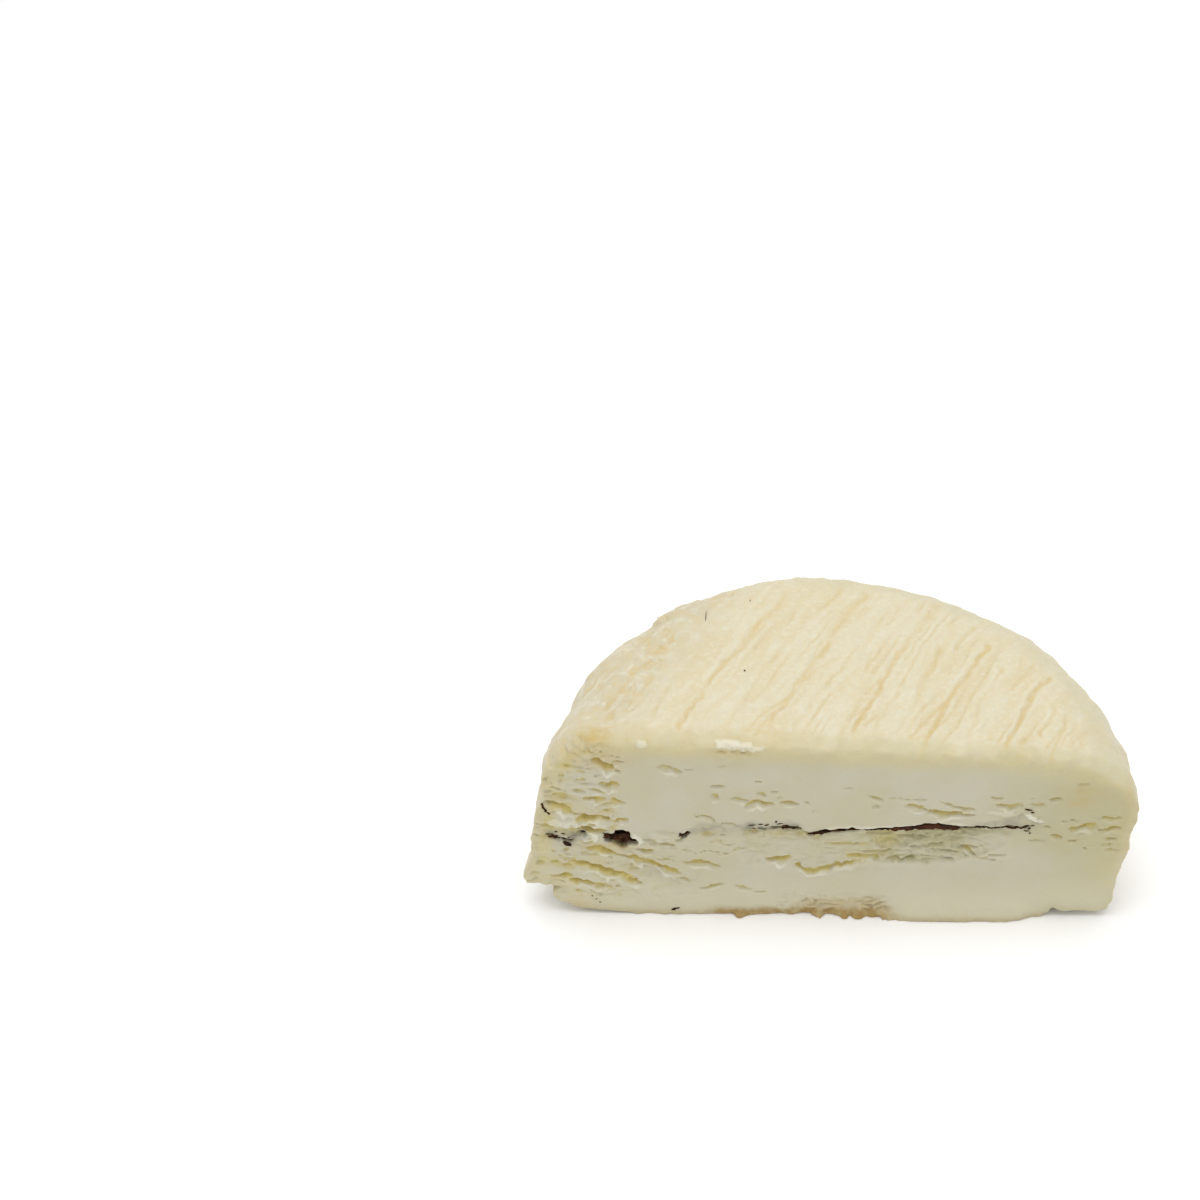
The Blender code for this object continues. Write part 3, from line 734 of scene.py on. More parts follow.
    def ledges(self, x: Array, z: Array, pitch: float, slope: float, seed: float) -> Array:
        """Torn layers of curd, each standing out at its lower edge.

        Args:
            x: Coordinates along the cut.
            z: Heights.
            pitch: Height of a layer.
            slope: Slope of the layers along the cut.
            seed: Offset into the noise.

        Returns:
            Depth from 0 to 1.
        """
        level = z - slope * x + 1.3 * self.noise.at(x / 4.0, z / 2.2, seed)
        level = level + 0.4 * self.noise.at(x / 1.3, z, seed)
        phase = level / pitch
        phase = phase - np.floor(phase)
        patch = smooth(-0.25, 0.45, self.noise.at(x / 2.6, z / 1.2, seed + 3.0))
        return patch * smooth(0.15, 0.85, phase) * (1.0 - smooth(0.9, 1.0, phase))

    def curds(self, x: Array, z: Array, sizes: tuple[Ripple, ...], start: Array | float = 0.0) -> Array:
        """Adds lumps of curd, which are parted by creases.

        Args:
            x: Coordinates along the cut.
            z: Heights.
            sizes: The sizes of the lumps, each with the depth of its creases.
            start: The depth that they are added to.

        Returns:
            The depth with the lumps.
        """
        depth = start
        for size in sizes:
            wide, high = size.length, size.width
            crease = np.abs(self.noise.at(x / wide, z / high, size.level))
            fine = np.abs(self.noise.at(x / (0.45 * wide), z / (0.45 * high), size.level + 4.0))
            creased = 0.7 * (1.0 - smooth(0.0, 0.6, crease)) + 0.3 * (1.0 - smooth(0.0, 0.5, fine))
            depth = depth + size.height * creased
        return depth

    def band(self, x: Array, z: Array) -> Array:
        """Depth of the sunken, torn band that lies under the leaf."""
        lip = follow(self.band_lip, x)
        seam = self.seam.both(x)
        where = within(x, *self.band_span, 1.2) * smooth(-0.05, 0.2, z - lip)
        where = where * (1.0 - smooth(0.0, 0.35, z - seam))
        deep = 0.3 + 0.45 * smooth(2.5, 7.0, x) * (1.0 - smooth(15.0, 21.0, x))
        share = np.clip((z - lip) / np.maximum(seam - lip, 0.5), 0.0, 1.0)
        rough = self.curds(x, z, self.band_curds, 0.6 * self.ledges(x / 1.8, z, 1.1, 0.03, 31.0))
        return where * deep * (0.3 + 0.5 * share**1.6 + rough)

    def crags(self, x: Array, z: Array) -> Array:
        """Torn layers at the foot, from 0 to 1."""
        return self.ledges(x, z, 0.8, 0.16, 61.0)

    def crumbly(self, x: Array, z: Array) -> Array:
        """Where the cut is torn rather than smooth, from 0 to 1."""
        left = 1.0 - smooth(-27.5, -23.0, x + 0.16 * (z - 13.0) + 1.5 * self.noise.at(x / 4.0, z / 2.5, 5.5))
        low = (1.0 - smooth(-24.0, -10.0, x)) * (1.0 - smooth(10.5, 14.0, z)) * smooth(2.0, 4.5, z)
        seam = bump(z - self.seam.both(x), -0.4, 1.3) * (1.0 - smooth(-3.0, 3.0, x))
        return np.clip(left * smooth(1.0, 4.5, z) + 0.55 * low + 0.85 * seam, 0.0, 1.0)

    def leaf_gap(self, x: Array, z: Array) -> Array:
        """The open, ragged slot at the leaf, from 0 to 1."""
        half = follow(self.seam.half_open, x) * (1.0 + 0.6 * self.noise.at(x / 0.6, 1.5, 17.0))
        edge = half - np.abs(z - self.seam.both(x)) + 0.08 * self.noise.at(x / 0.4, z / 0.35, 18.0)
        return smooth(-0.05, 0.05, edge) * (half > 0.03)

    def hollow(self, x: Array, z: Array) -> Array:
        """The opening round the folded piece of leaf, from 0 to 1."""
        roof = smooth(-0.08, 0.08, follow(self.hollow_roof, x) - z)
        floor = smooth(-0.08, 0.08, z - follow(self.hollow_floor, x))
        return within(x, *self.hollow_span, 0.3) * roof * floor

    def torn_relief(self, x: Array, z: Array) -> Array:
        """Lumps and layers of curd where the cut is torn."""
        torn = self.crumbly(x, z)
        lumps = self.curds(x, z, self.torn_curds)
        layers = 0.24 * self.ledges(x, z, 1.7, -0.2, 41.0) + 0.25 * self.noise.at(x / 3.0, z / 1.8, 8.0)
        chips = 0.3 * smooth(0.3, 0.7, self.noise.at(x / 0.9, z / 0.38, 71.0))
        right = smooth(27.0, 32.0, x) * bump(z, self.right_curd_level, 4.5)
        return torn * (lumps + layers + chips) + 0.2 * right * self.curds(x, z, self.right_curds)

    def depth(self, x: Array, z: Array) -> Array:
        """Depth of the whole cut face behind the plane of the cut.

        Args:
            x: Coordinates along the cut.
            z: Heights.

        Returns:
            The depth in millimetres.
        """
        total = self.noise.rippled(x, z, self.plain)
        x, z = self.warped(x, z)
        total = total + self.torn_relief(x, z)
        foot = within(x, *self.foot_span, 2.5) * (1.0 - smooth(2.8, 4.8, z + 0.12 * x))
        total = total + foot * self.curds(x, z, self.foot_curds, 0.38 * self.crags(x, z))
        total = total + 0.22 * (1.0 - smooth(0.0, 0.9, z)) * self.noise.at(x / 0.8, z, 65.0)
        total = total + self.band(x, z)
        scoop_x, scoop_z = self.scoop
        above_scoop = z - scoop_z - self.scoop_slope * (x - scoop_x)
        total = total + self.scoop_depth * bump(x, scoop_x, 4.2) * bump(above_scoop, 0.3, 1.3)
        total = total - self.belly * within(x, *self.belly_span, 5.0) * (1.0 - smooth(0.0, 5.0, z))
        total = total - self.toe * within(x, *self.toe_span, 2.0) * (1.0 - smooth(0.0, 1.6, z))
        carved, lips = self.slits(x, z)
        total = np.maximum(total + carved - self.lip_height * lips, -self.most_forward)
        opened = np.maximum(self.leaf_gap(x, z), self.hollow(x, z))
        return self.skin + total + (self.slot_depth - total) * opened


@dataclass
class LeafBlade:
    """Half of a dried leaf that lies in the cheese: thin, wavy and toothed, and ragged at the cut."""

    name: str
    section: Path
    reach: float
    inset: Path
    swell: Path
    lump: tuple[float, float, float, float] = (0.0, 0.0, 1.0, 1.0)
    half: float = 0.13
    step: float = 0.2
    rows: int = 44
    tooth_pitch: float = 2.2
    level_after: float = 9.0
    crumpled_to: Span = (0.4, 2.2)
    end_gap: float = 0.05
    front_round: float = 0.004
    back_round: float = 0.05
    noise: SmoothNoise = field(default_factory=lambda: SmoothNoise(53))
    crumple: tuple[Ripple, ...] = (Ripple(0.06, 1.1, 0.9, 3.0), Ripple(0.03, 0.4, 0.4, 4.0))

    def middle(self, x: Array, y: Array) -> Array:
        """Height of the blade's middle."""
        back = smooth(0.0, self.level_after, y - CUT_Y)
        mean = sum(z for _, z in self.section) / len(self.section)
        level = follow(self.section, x) * (1.0 - back) + mean * back
        return level + back * (0.5 * np.sin(0.55 * x + 0.2 * y) + 0.3 * np.sin(0.5 * y))

    def thick(self, x: Array, y: Array) -> Array:
        """Half thickness of the blade, which is thicker where it is crumpled at the cut."""
        near = 1.0 - smooth(*self.crumpled_to, y - CUT_Y)
        at, extra, wide, back = self.lump
        folded = extra * bump(x, at, wide) * (1.0 - smooth(0.0, back, y - CUT_Y))
        return self.half + follow(self.swell, x) * near + folded

    def back(self, x: Array) -> Array:
        """Where the blade ends behind the cut: an ovate outline."""
        low, high = self.section[0][0], self.section[-1][0]
        share = np.clip(np.abs(x - 0.5 * (low + high)) / (0.5 * (high - low)), 0.0, 1.0)
        return CUT_Y + 0.12 + self.reach * (1.0 - share**1.8)

    def room(self, x: Array, y: Array, z: Array, gap: float) -> Array:
        """Distance to the slot that the blade needs in the cheese, negative inside.

        Args:
            x: Coordinates along the cut.
            y: Coordinates away from the cut.
            z: Heights.
            gap: How far the slot stands off.

        Returns:
            The distance in millimetres.
        """
        plan = np.maximum(y - self.back(x) - gap, CUT_Y + follow(self.inset, x) - gap - y)
        ends = np.maximum(self.section[0][0] - x, x - self.section[-1][0]) - gap
        height = np.abs(z - self.middle(x, y)) - self.thick(x, y) - gap
        return np.maximum(np.maximum(plan, ends), height)

    def build(self, material: bpy.types.Material) -> bpy.types.Object:
        """Makes the blade as one closed mesh.

        Args:
            material: The leaf's material.

        Returns:
            The blade.
        """
        low, high = self.section[0][0], self.section[-1][0]
        columns = int((high - low) / self.step)
        u = np.linspace(low + self.end_gap, high - self.end_gap, columns + 1)[:, None]
        v = np.linspace(0.0, 1.0, self.rows + 1)[None, :] ** 1.7
        ragged = 0.16 * self.noise.at(u / 0.5, 1.0, 1.0) + 0.1 * self.noise.at(u / 0.22, 2.0, 1.0)
        front = CUT_Y + follow(self.inset, u) + 0.1 + ragged
        tooth = (u / self.tooth_pitch) % 1.0
        back = np.maximum(self.back(u) - 0.5 * tooth, front + 0.1)
        x = u + 0.0 * v
        y = front + (back - front) * v
        middle = self.middle(x, y) + self.noise.rippled(x, y, self.crumple)
        edge = np.minimum(v / self.front_round, 1.0) ** 0.5
        edge = edge * np.minimum((1.0 - v) / self.back_round, 1.0) ** 0.5
        half = self.thick(x, y) * (0.35 + 0.65 * edge) * (1.0 + 0.3 * self.noise.at(x / 0.6, y / 0.6, 5.0))
        upper = np.stack([x, y, middle + half], axis=-1).reshape(-1, 3)
        lower = np.stack([x, y, middle - half], axis=-1).reshape(-1, 3)
        number = np.arange(len(upper)).reshape(x.shape)
        a, b, c, d = number[:-1, :-1], number[1:, :-1], number[1:, 1:], number[:-1, 1:]
        face = np.stack([a, b, c, d], axis=-1).reshape(-1, 4)
        rim = np.concatenate([number[:-1, 0], number[-1, :-1], number[:0:-1, -1], number[0, :0:-1]])
        after = np.roll(rim, -1)
        under = face[:, ::-1] + len(upper)
        side = np.stack([rim, rim + len(upper), after + len(upper), after], axis=-1)
        mesh = bpy.data.meshes.new(self.name)
        points = np.concatenate([upper, lower]) * MM
        mesh.from_pydata(points.tolist(), [], np.concatenate([face, under, side]).tolist())
        mesh.shade_smooth()
        mesh.materials.append(material)
        piece = bpy.data.objects.new(self.name, mesh)
        bpy.context.scene.collection.objects.link(piece)
        log.info("%s: %d faces", self.name, len(mesh.polygons))
        return piece


class SurfaceNet:
    """Skins the zero level of a field of distances with quads."""

    PASSES = 12
    FILLED = -1e-3

    def __init__(self, values: Array, axes: tuple[Array, Array, Array]) -> None:
        """Keeps the field.

        Args:
            values: Distances at the lattice's nodes, negative inside.
            axes: The nodes' coordinates along x, y and z.
        """
        self.values = values
        self.axes = axes

    def settle(self) -> None:
        """Fills the weakest outer node where inside and outside meet as on a chessboard."""
        values = self.values
        corners = ((0, 0), (1, 1), (0, 1), (1, 0))
        for _ in range(self.PASSES):
            found = 0
            for u, v in ((0, 1), (1, 2), (0, 2)):
                views = []
                for step_u, step_v in corners:
                    cut = [slice(None)] * 3
                    cut[u] = slice(step_u, values.shape[u] - 1 + step_u)
                    cut[v] = slice(step_v, values.shape[v] - 1 + step_v)
                    views.append(values[tuple(cut)])
                a, b, c, d = (view < 0.0 for view in views)
                spots = np.nonzero((a == b) & (c == d) & (a != c))
                if not len(spots[0]):
                    continue
                found += len(spots[0])
                around = np.stack([view[spots] for view in views])
                weakest = np.argmin(np.where(around < 0.0, np.inf, around), axis=0)
                for number, view in enumerate(views):
                    picked = tuple(index[weakest == number] for index in spots)
                    view[picked] = self.FILLED
            if not found:
                return

    def skin(self) -> tuple[Array, Array]:
        """Builds the surface.

        Returns:
            The vertices and the quads, which face outwards.
        """
        values, axes = self.values, self.axes
        shape = tuple(size - 1 for size in values.shape)
        total = np.zeros(shape + (3,), np.float32)
        count = np.zeros(shape, np.float32)
        edges = []
        for axis in range(3):
            low = [slice(None)] * 3
            high = [slice(None)] * 3
            low[axis] = slice(None, -1)
            high[axis] = slice(1, None)
            a, b = values[tuple(low)], values[tuple(high)]
            spots = np.nonzero((a < 0.0) != (b < 0.0))
            start, end = a[spots], b[spots]
            t = start / (start - end)
            point = np.stack([axes[k][spots[k]] for k in range(3)], axis=1)
            point[:, axis] += t * np.diff(axes[axis])[spots[axis]]
            u, v = (axis + 1) % 3, (axis + 2) % 3
            cells = []
            for step_u, step_v in ((-1, -1), (0, -1), (0, 0), (-1, 0)):
                cell = [index.copy() for index in spots]
                cell[u] += step_u
                cell[v] += step_v
                cells.append(tuple(cell))
                total[cells[-1]] += point
                count[cells[-1]] += 1.0
            edges.append((cells, start < 0.0))
        used = count > 0.0
        number = np.full(shape, -1, np.int64)
        number[used] = np.arange(int(used.sum()))
        vertices = total[used] / count[used][:, None]
        quads = []
        for cells, outward in edges:
            quad = np.stack([number[cell] for cell in cells], axis=1)
            quads.append(np.where(outward[:, None], quad, quad[:, ::-1]))
        return vertices, np.concatenate(quads)


@dataclass(frozen=True)
class Blush:
    """A patch of ochre, seen from the front: its strength, middle and half sizes."""

    strength: float
    x: float
    half_x: float
    z: float
    half_z: float


class Channel(Enum):
    """What the cheese's surface carries for its finish."""

    RIND = "rind_depth"
    CUT = "cut_share"
    # Painted shade: depth of the slits, the torn creases and the band under the leaf, painted as warm ochre
    # shade.
    PIT = "pit_depth"
    GROOVE = "groove"
    RIDGE = "ridge"
    MARGIN = "margin"
    WRINKLED = "wrinkled"
    STAIN = "leaf_stain"
    # Tan of the dried foot, with painted shade in the creases of its crags.
    TAN = "base_tan"
    # Painted shadow: dark brown painted inside the open leaf slot and the hollow round the folded leaf.
    SHADE = "leaf_shade"
    OCHRE = "ochre"
    # Olive tone, painted as shade in the band under the leaf's overhang and as a tone towards the right end.
    OLIVE = "olive"
    # White of freshly torn bits, and painted highlight on the lips of the slits.
    FRESH = "fresh_white"


@dataclass
class HalfCheese:
    """The half cheese: its form, its torn cut face and its rind."""

    leaves: tuple[LeafBlade, ...]
    outline: Outline = field(default_factory=Outline)
    rind: RindRelief = field(default_factory=RindRelief)
    cut: CutRelief = field(default_factory=CutRelief)
    step: float = 0.2
    quick_step: float = 0.28
    step_front: float = 0.15
    step_back: float = 0.5
    fine_to: float = 3.0
    coarse_over: float = 12.0
    margin: float = 1.0
    before_cut: float = 1.5
    edge_round: float = 0.25
    brow_round: float = 2.8
    leaf_gap: float = 0.14
    section_to: Span = (0.4, 6.5)
    wedge_span: Span = (16.5, 24.0)
    tan_span: Span = (-13.5, 5.0)
    crag_span: Span = (-3.0, 6.0)
    most_triangles: int = 188000
    noise: SmoothNoise = field(default_factory=lambda: SmoothNoise(37))
    stained_runs: tuple[tuple[float, float, float], ...] = (
        (-17.0, -10.0, 0.7), (-10.0, -4.0, 1.15), (-35.6, -31.0, 0.95), (20.6, 25.2, 0.5),
        (12.6, 19.0, 0.3), (-22.4, -21.1, 0.25),
    )
    blushes: tuple[Blush, ...] = tuple(Blush(*row) for row in (
        (0.8, 31.0, 2.2, 20.3, 2.4), (0.6, -34.2, 1.4, 18.0, 0.9), (0.5, -32.0, 2.6, 1.2, 1.3),
        (0.6, -11.8, 2.2, 27.2, 0.7), (0.55, 22.0, 3.0, 26.2, 0.8), (0.4, 12.5, 3.0, 26.8, 0.6),
        (0.9, -26.9, 1.3, 11.5, 0.5), (0.9, -6.7, 1.3, 13.9, 0.4),
    ))
    patches: tuple[Patch, ...] = tuple(Patch(*row) for row in (
        (-12.4, 28.5, 1.75, 1.5, 0.2, 0.56, -0.1, 1.1, 1.5),
        (-11.1, 28.4, 1.9, 1.2, 0.18, 0.52, -0.2, 1.0, 1.1),
        (-9.6, 28.2, 1.8, 0.8, 0.16, 0.5, -0.25, 0.5, 0.8),
        (-23.0, 28.4, 0.8, 0.9, 0.14, 0.42, 0.0, 0.7, 1.2), (-24.3, 13.0, 1.1, 1.0, 0.3, 0.6, -0.3),
        (-30.1, 13.1, 1.2, 1.1, 0.4, 0.7), (-34.4, 15.6, 1.3, 0.8, 0.4, 0.4, -0.1),
        (-32.4, 15.4, 1.2, 0.8, 0.4, 0.5, -0.1), (-28.6, 15.1, 3.0, 0.6, 0.3, 0.35, -0.1),
        (-21.4, 13.4, 1.8, 0.9, 0.3, 0.3, -0.1), (24.7, 17.1, 0.9, 0.5, 0.25, 0.6, -0.6),
        (25.6, 16.5, 0.8, 0.35, 0.25, 0.6, -0.2), (21.0, 17.7, 2.4, 0.5, 0.2, 0.35, -0.12),
        (-1.6, 0.2, 0.9, 0.7, 0.6), (1.7, 0.2, 0.7, 0.6, 0.6), (3.4, 0.2, 0.8, 0.6, 0.55),
        (7.9, 0.2, 1.7, 0.8, 0.7), (16.4, 0.2, 1.1, 0.7, 0.6), (-11.5, 0.2, 0.9, 0.6, 0.6),
        (-21.9, 26.6, 1.2, 1.6, 0.9, 0.0, 0.0, 27.3, 1.0),
    ))

    def axes(self) -> tuple[Array, Array, Array]:
        """Coordinates of the lattice: fine near the cut, coarser towards the back.

        Returns:
            The coordinates along x, y and z.
        """
        low, high = (np.array(corner) / MM for corner in CAD_BOX)
        step = self.step
        xs = np.arange(low[0] - self.margin, high[0] + self.margin, step)
        zs = np.arange(-2.5 * step, high[2] + self.margin, step)
        ys = [CUT_Y - self.before_cut]
        while ys[-1] < high[1] + self.margin:
            past = ys[-1] - (CUT_Y + self.fine_to)
            share = min(max(past / self.coarse_over, 0.0), 1.0)
            ys.append(ys[-1] + self.step_front + (self.step_back - self.step_front) * share)
        return tuple(np.asarray(a, np.float32) for a in (xs, ys, zs))

    def body(self, x: Array, y: Array, z: Array) -> Array:
        """Distance to the rind and the underside, negative inside.

        Args:
            x: Coordinates along the cut.
            y: Coordinates away from the cut.
            z: Heights.

        Returns:
            The distance in millimetres.
        """
        angle = np.degrees(np.arctan2(np.maximum(y - CENTRE_Y, -3.0), x - CENTRE_X)) % 360.0
        angle = np.where(angle > 270.0, 0.0, angle)
        form = self.outline
        reach = np.hypot(x - CENTRE_X, y - CENTRE_Y)
        side = form.radius + form.corner(angle, "swell") + follow(form.rim, angle)
        side = side + form.corner(angle, "lean") * (z - form.lean_level)
        out = reach - side - self.rind.wall(angle, x, y, z)
        up = z - form.top(x, y) - self.rind.top(x, y)
        inset, drop, base_inset, base_rise = (
            form.corner(angle, name) for name in ("top_inset", "top_drop", "base_inset", "base_rise")
        )
        top = form.corner_distance(out, up, inset, drop)
        base = form.corner_distance(out, self.underside(x, y) - z, base_inset, base_rise)
        whole = np.maximum(top, base)
        ragged = 0.12 * self.noise.at(x / 0.9, y / 1.5, z / 0.7)
        near = form.section(x, z) + ragged
        behind = smooth(*self.section_to, y - CUT_Y)
        return near * (1.0 - behind) + whole * behind

    def underside(self, x: Array, y: Array) -> Array:
        """Height of the underside: flat, but lifted a little at the front."""
        near = 1.0 - smooth(0.0, 7.0, y - CUT_Y)
        left = 0.7 * (1.0 - smooth(-18.0, -9.0, x))
        right = 0.8 * smooth(27.2, 28.6, x) + 0.3 * smooth(20.0, 27.0, x)
        return near * (left + right + 0.15 * (0.5 + 0.5 * self.noise.at(x / 1.2, y / 2.0, 4.0)))

    def cover(self, bit: Patch, x: Array, y: Array, z: Array) -> Array:
        """How fully a torn bit covers each place: 1 at its middle, 0 outside of its ragged rim."""
        up = (z - bit.z - bit.slope * (x - bit.x)) / bit.half_z
        back = (y - CUT_Y - bit.behind) / bit.half_y
        q = ((x - bit.x) / bit.half_x) ** 2 + up**2 + back**2
        ragged = 0.5 * self.noise.at(x / 0.8, y / 0.9, z / 0.5)
        ragged = ragged + 0.4 * self.noise.at(x / 0.33, y / 0.4, z / 0.3)
        return smooth(1.1, 0.4, q + ragged * smooth(0.1, 0.7, q)) * (1.0 - 0.8 * smooth(-0.3, 0.8, back))

    def field(self, xs: Array, ys: Array, zs: Array) -> Array:
        """Distances at every node of the lattice.

        Args:
            xs: Coordinates along the cut.
            ys: Coordinates away from the cut.
            zs: Heights.

        Returns:
            The distances, negative inside.
        """
        x, y, z = np.meshgrid(xs, ys, zs, indexing="ij", sparse=True)
        body = self.body(x, y, z)
        front = CUT_Y + self.cut.depth(x, z) - y
        brow = smooth(6.0, 2.5, self.outline.top(x, CUT_Y) - z)
        brow = brow * (0.75 + 0.5 * self.noise.at(x / 2.2, 0.0, 2.0))
        values = soft_max(body, front, self.edge_round + (self.brow_round - self.edge_round) * brow)
        for bit in self.patches:
            wide = slice(*np.searchsorted(xs, (bit.x - 1.5 * bit.half_x, bit.x + 1.5 * bit.half_x)))
            middle = CUT_Y + bit.behind
            deep = slice(*np.searchsorted(ys, (middle - 1.5 * bit.half_y, middle + 1.5 * bit.half_y)))
            values[wide, deep] -= bit.thickness * self.cover(bit, x[wide], y[:, deep], z)
        for leaf in self.leaves:
            values = np.maximum(values, -leaf.room(x, y, z, self.leaf_gap))
        return np.maximum(values, -z).astype(np.float32)

    def stain(self, x: Array, z: Array, blotch: Array) -> Array:
        """Where the leaf has stained the paste: along its seam, and in a wedge above its right part.

        Args:
            x: Coordinates along the cut.
            z: Heights.
            blotch: Noise that makes it uneven.

        Returns:
            The stain's strength.
        """
        above = z - self.cut.seam.both(x)
        strength = np.zeros_like(x)
        for left, right, share in self.stained_runs:
            strength = np.maximum(strength, share * within(x, left, right, 1.2))
        along = strength * bump(above, 0.25, 0.8 + 0.4 * blotch) * np.clip(0.75 + 0.9 * blotch, 0.0, 1.0)
        roof = 0.32 * np.maximum(x - self.wedge_span[0], 0.1)
        wedge = within(x, *self.wedge_span, 0.6) * within(above, 0.15, roof, 0.25)
        return np.maximum(along, 0.45 * wedge)

    def foot(self, x: Array, z: Array, blotch: Array) -> tuple[Array, Array]:
        """The dried foot of the cut.

        Args:
            x: Coordinates along the cut.
            z: Heights.
            blotch: Noise that makes it uneven.

        Returns:
            How tan it is, with painted shade in the creases of its crags, and where its crags rise above the
            base.
        """
        base = 0.95 * within(x, *self.tan_span, 3.0) * (1.0 - smooth(0.6, 1.8, z + 0.5 * blotch))
        level = z + 0.6 * blotch - 0.12 * np.minimum(x, 5.0) + 0.7 * np.maximum(x - 5.0, 0.0)
        raised = within(x, *self.crag_span, 3.5) * (1.0 - smooth(2.0, 3.6, level))
        # the dried foot's own tan, plus painted shade that grows with the depth of the crags' creases
        return np.maximum(base, raised * (0.1 + 0.5 * self.cut.crags(x, z))), raised

    def ochre(self, x: Array, behind: Array, z: Array) -> Array:
        """Where the rind and the curd are ochre.

        Args:
            x: Coordinates along the cut.
            behind: Distances behind the plane of the cut.
            z: Heights.

        Returns:
            The ochre's strength.
        """
        crown = smooth(24.0, 26.0, z)
        total = 0.45 * smooth(34.8, 37.2, x) * within(z, 9.0, 21.0, 3.0)
        total = total + 0.7 * bump(x, -28.4, 3.4) * bump(behind, 1.4, 1.6) * crown
        total = total + 0.35 * within(x, -30.0, 3.0, 5.0) * within(behind, 0.8, 3.0, 1.2) * crown
        for blush in self.blushes:
            total = total + blush.strength * bump(x, blush.x, blush.half_x) * bump(z, blush.z, blush.half_z)
        return total

    def olive(self, x: Array, z: Array, band: Array, shade: Array) -> Array:
        """How olive the paste is: in the band under the leaf, where the olive is partly painted shade under
        the leaf's overhang, and towards the right end.

        Args:
            x: Coordinates along the cut.
            z: Heights.
            band: Depth of the band under the leaf.
            shade: Unevenness from 0 to 1.

        Returns:
            The olive's strength.
        """
        right = smooth(19.0, 29.0, x - 4.0 * (1.0 - smooth(8.0, 14.0, z)))
        right = right * (0.4 + 0.35 * smooth(8.0, 13.0, z)) * (1.0 - 0.8 * smooth(20.5, 24.0, z))
        return np.maximum(smooth(0.1, 0.7, band) * shade, right)

    def fresh(self, x: Array, y: Array, z: Array, lips: Array) -> Array:
        """Where the curd is white: the torn bits are freshly torn white curd, and the white on the lips of the
        slits is painted highlight where the lower lips face the light.

        Args:
            x: Coordinates along the cut.
            y: Coordinates away from the cut.
            z: Heights.
            lips: Share of a full lip.

        Returns:
            The whiteness from 0 to 1.
        """
        # painted highlight on the lower lips of the slits
        white = 0.6 * lips
        for bit in self.patches:
            fade = 1.0 - smooth(-0.35, 0.9, (y - CUT_Y - bit.behind) / bit.half_y)
            white = np.maximum(white, bit.white * fade * smooth(0.05, 0.9, self.cover(bit, x, y, z)))
        return white

    def channels(self, points: Array) -> dict[Channel, Array]:
        """What each vertex carries for the finish.

        Args:
            points: The vertices in millimetres.

        Returns:
            One value per vertex for each channel.
        """
        x, y, z = points.T
        behind = y - CUT_Y
        near_cut = 1.0 - smooth(2.5, 5.5, behind)
        body = -self.body(x, y, z)
        on_cut = (1.0 - smooth(0.3, 0.9, behind - self.cut.depth(x, z))) * smooth(0.0, 1.6, body)
        blotch = self.cut.noise.layered(x / 2.0, z / 1.2, 77.0)
        shade = np.clip(0.7 + 0.8 * blotch, 0.0, 1.0)
        tan, crags = self.foot(x, z, blotch)
        warped = self.cut.warped(x, z)
        carved, lips = self.cut.slits(*warped)
        band = self.cut.band(*warped)
        # painted shade: the deeper the slits and torn creases, the more warm ochre shade is painted in them
        pit = carved + 0.6 * np.maximum(self.cut.torn_relief(*warped), 0.0)
        pit = pit + 0.3 * band * (1.0 - smooth(6.0, 12.0, x))
        opened = np.maximum(self.cut.leaf_gap(*warped), self.cut.hollow(*warped))
        groove, ridge = self.rind.grooves(x, y)
        groove = groove + 0.6 * self.rind.wrinkles(x, y)
        ridge = self.rind.streaks(x, y) + 0.4 * ridge + 1.2 * self.rind.crumbs(x, y)
        crown = smooth(11.0, 5.0, self.outline.top(x, y) - z)
        return {
            Channel.RIND: body / (1.0 + 0.9 * smooth(20.0, 31.0, x)),
            Channel.CUT: on_cut,
            Channel.PIT: pit * on_cut,
            # olive: painted shade in the band under the leaf, and a tone towards the right end
            Channel.OLIVE: self.olive(x, z, band, shade) * on_cut,
            Channel.GROOVE: groove * crown,
            Channel.RIDGE: ridge * crown,
            Channel.MARGIN: self.rind.calm(x, y) * (1.0 - 0.45 * smooth(2.5, 6.0, behind)),
            Channel.WRINKLED: self.rind.wrinkled(x, y),
            Channel.STAIN: self.stain(x, z, blotch) * on_cut,
            Channel.TAN: np.clip(tan * near_cut + 0.35 * (1.0 - smooth(0.2, 1.2, z)), 0.0, 1.0),
            # painted shadow deep inside the open leaf slot and the hollow
            Channel.SHADE: opened * smooth(0.1, 0.6, behind) * near_cut,
            Channel.OCHRE: np.clip((0.5 * crags + self.ochre(x, behind, z)) * shade * near_cut, 0.0, 1.0),
            Channel.FRESH: self.fresh(x, y, z, lips * on_cut),
        }

    def build(self) -> bpy.types.Object:
        """Makes the cheese as one closed mesh.

        Returns:
            The mesh object, in the frame's place.
        """
        axes = self.axes()
        net = SurfaceNet(self.field(*axes), axes)
        net.settle()
        points, quads = net.skin()
        raw = bpy.data.meshes.new("half_cheese_raw")
        raw.from_pydata((points * MM).tolist(), [], quads.tolist())
        piece = bpy.data.objects.new("half_cheese", raw)
        bpy.context.scene.collection.objects.link(piece)
        thin = piece.modifiers.new("thin", "DECIMATE")
        thin.ratio = min(1.0, self.most_triangles / (2.0 * len(quads)))
        mesh = applied(piece)
        co = np.empty(3 * len(mesh.vertices), np.float32)
        mesh.vertices.foreach_get("co", co)
        for channel, values in self.channels(co.reshape(-1, 3) / MM).items():
            layer = mesh.attributes.new(channel.value, "FLOAT", "POINT")
            layer.data.foreach_set("value", np.ascontiguousarray(values, np.float32))
        mesh.shade_smooth()
        log.info("half_cheese: %d quads before, %d faces after thinning", len(quads), len(mesh.polygons))
        return piece

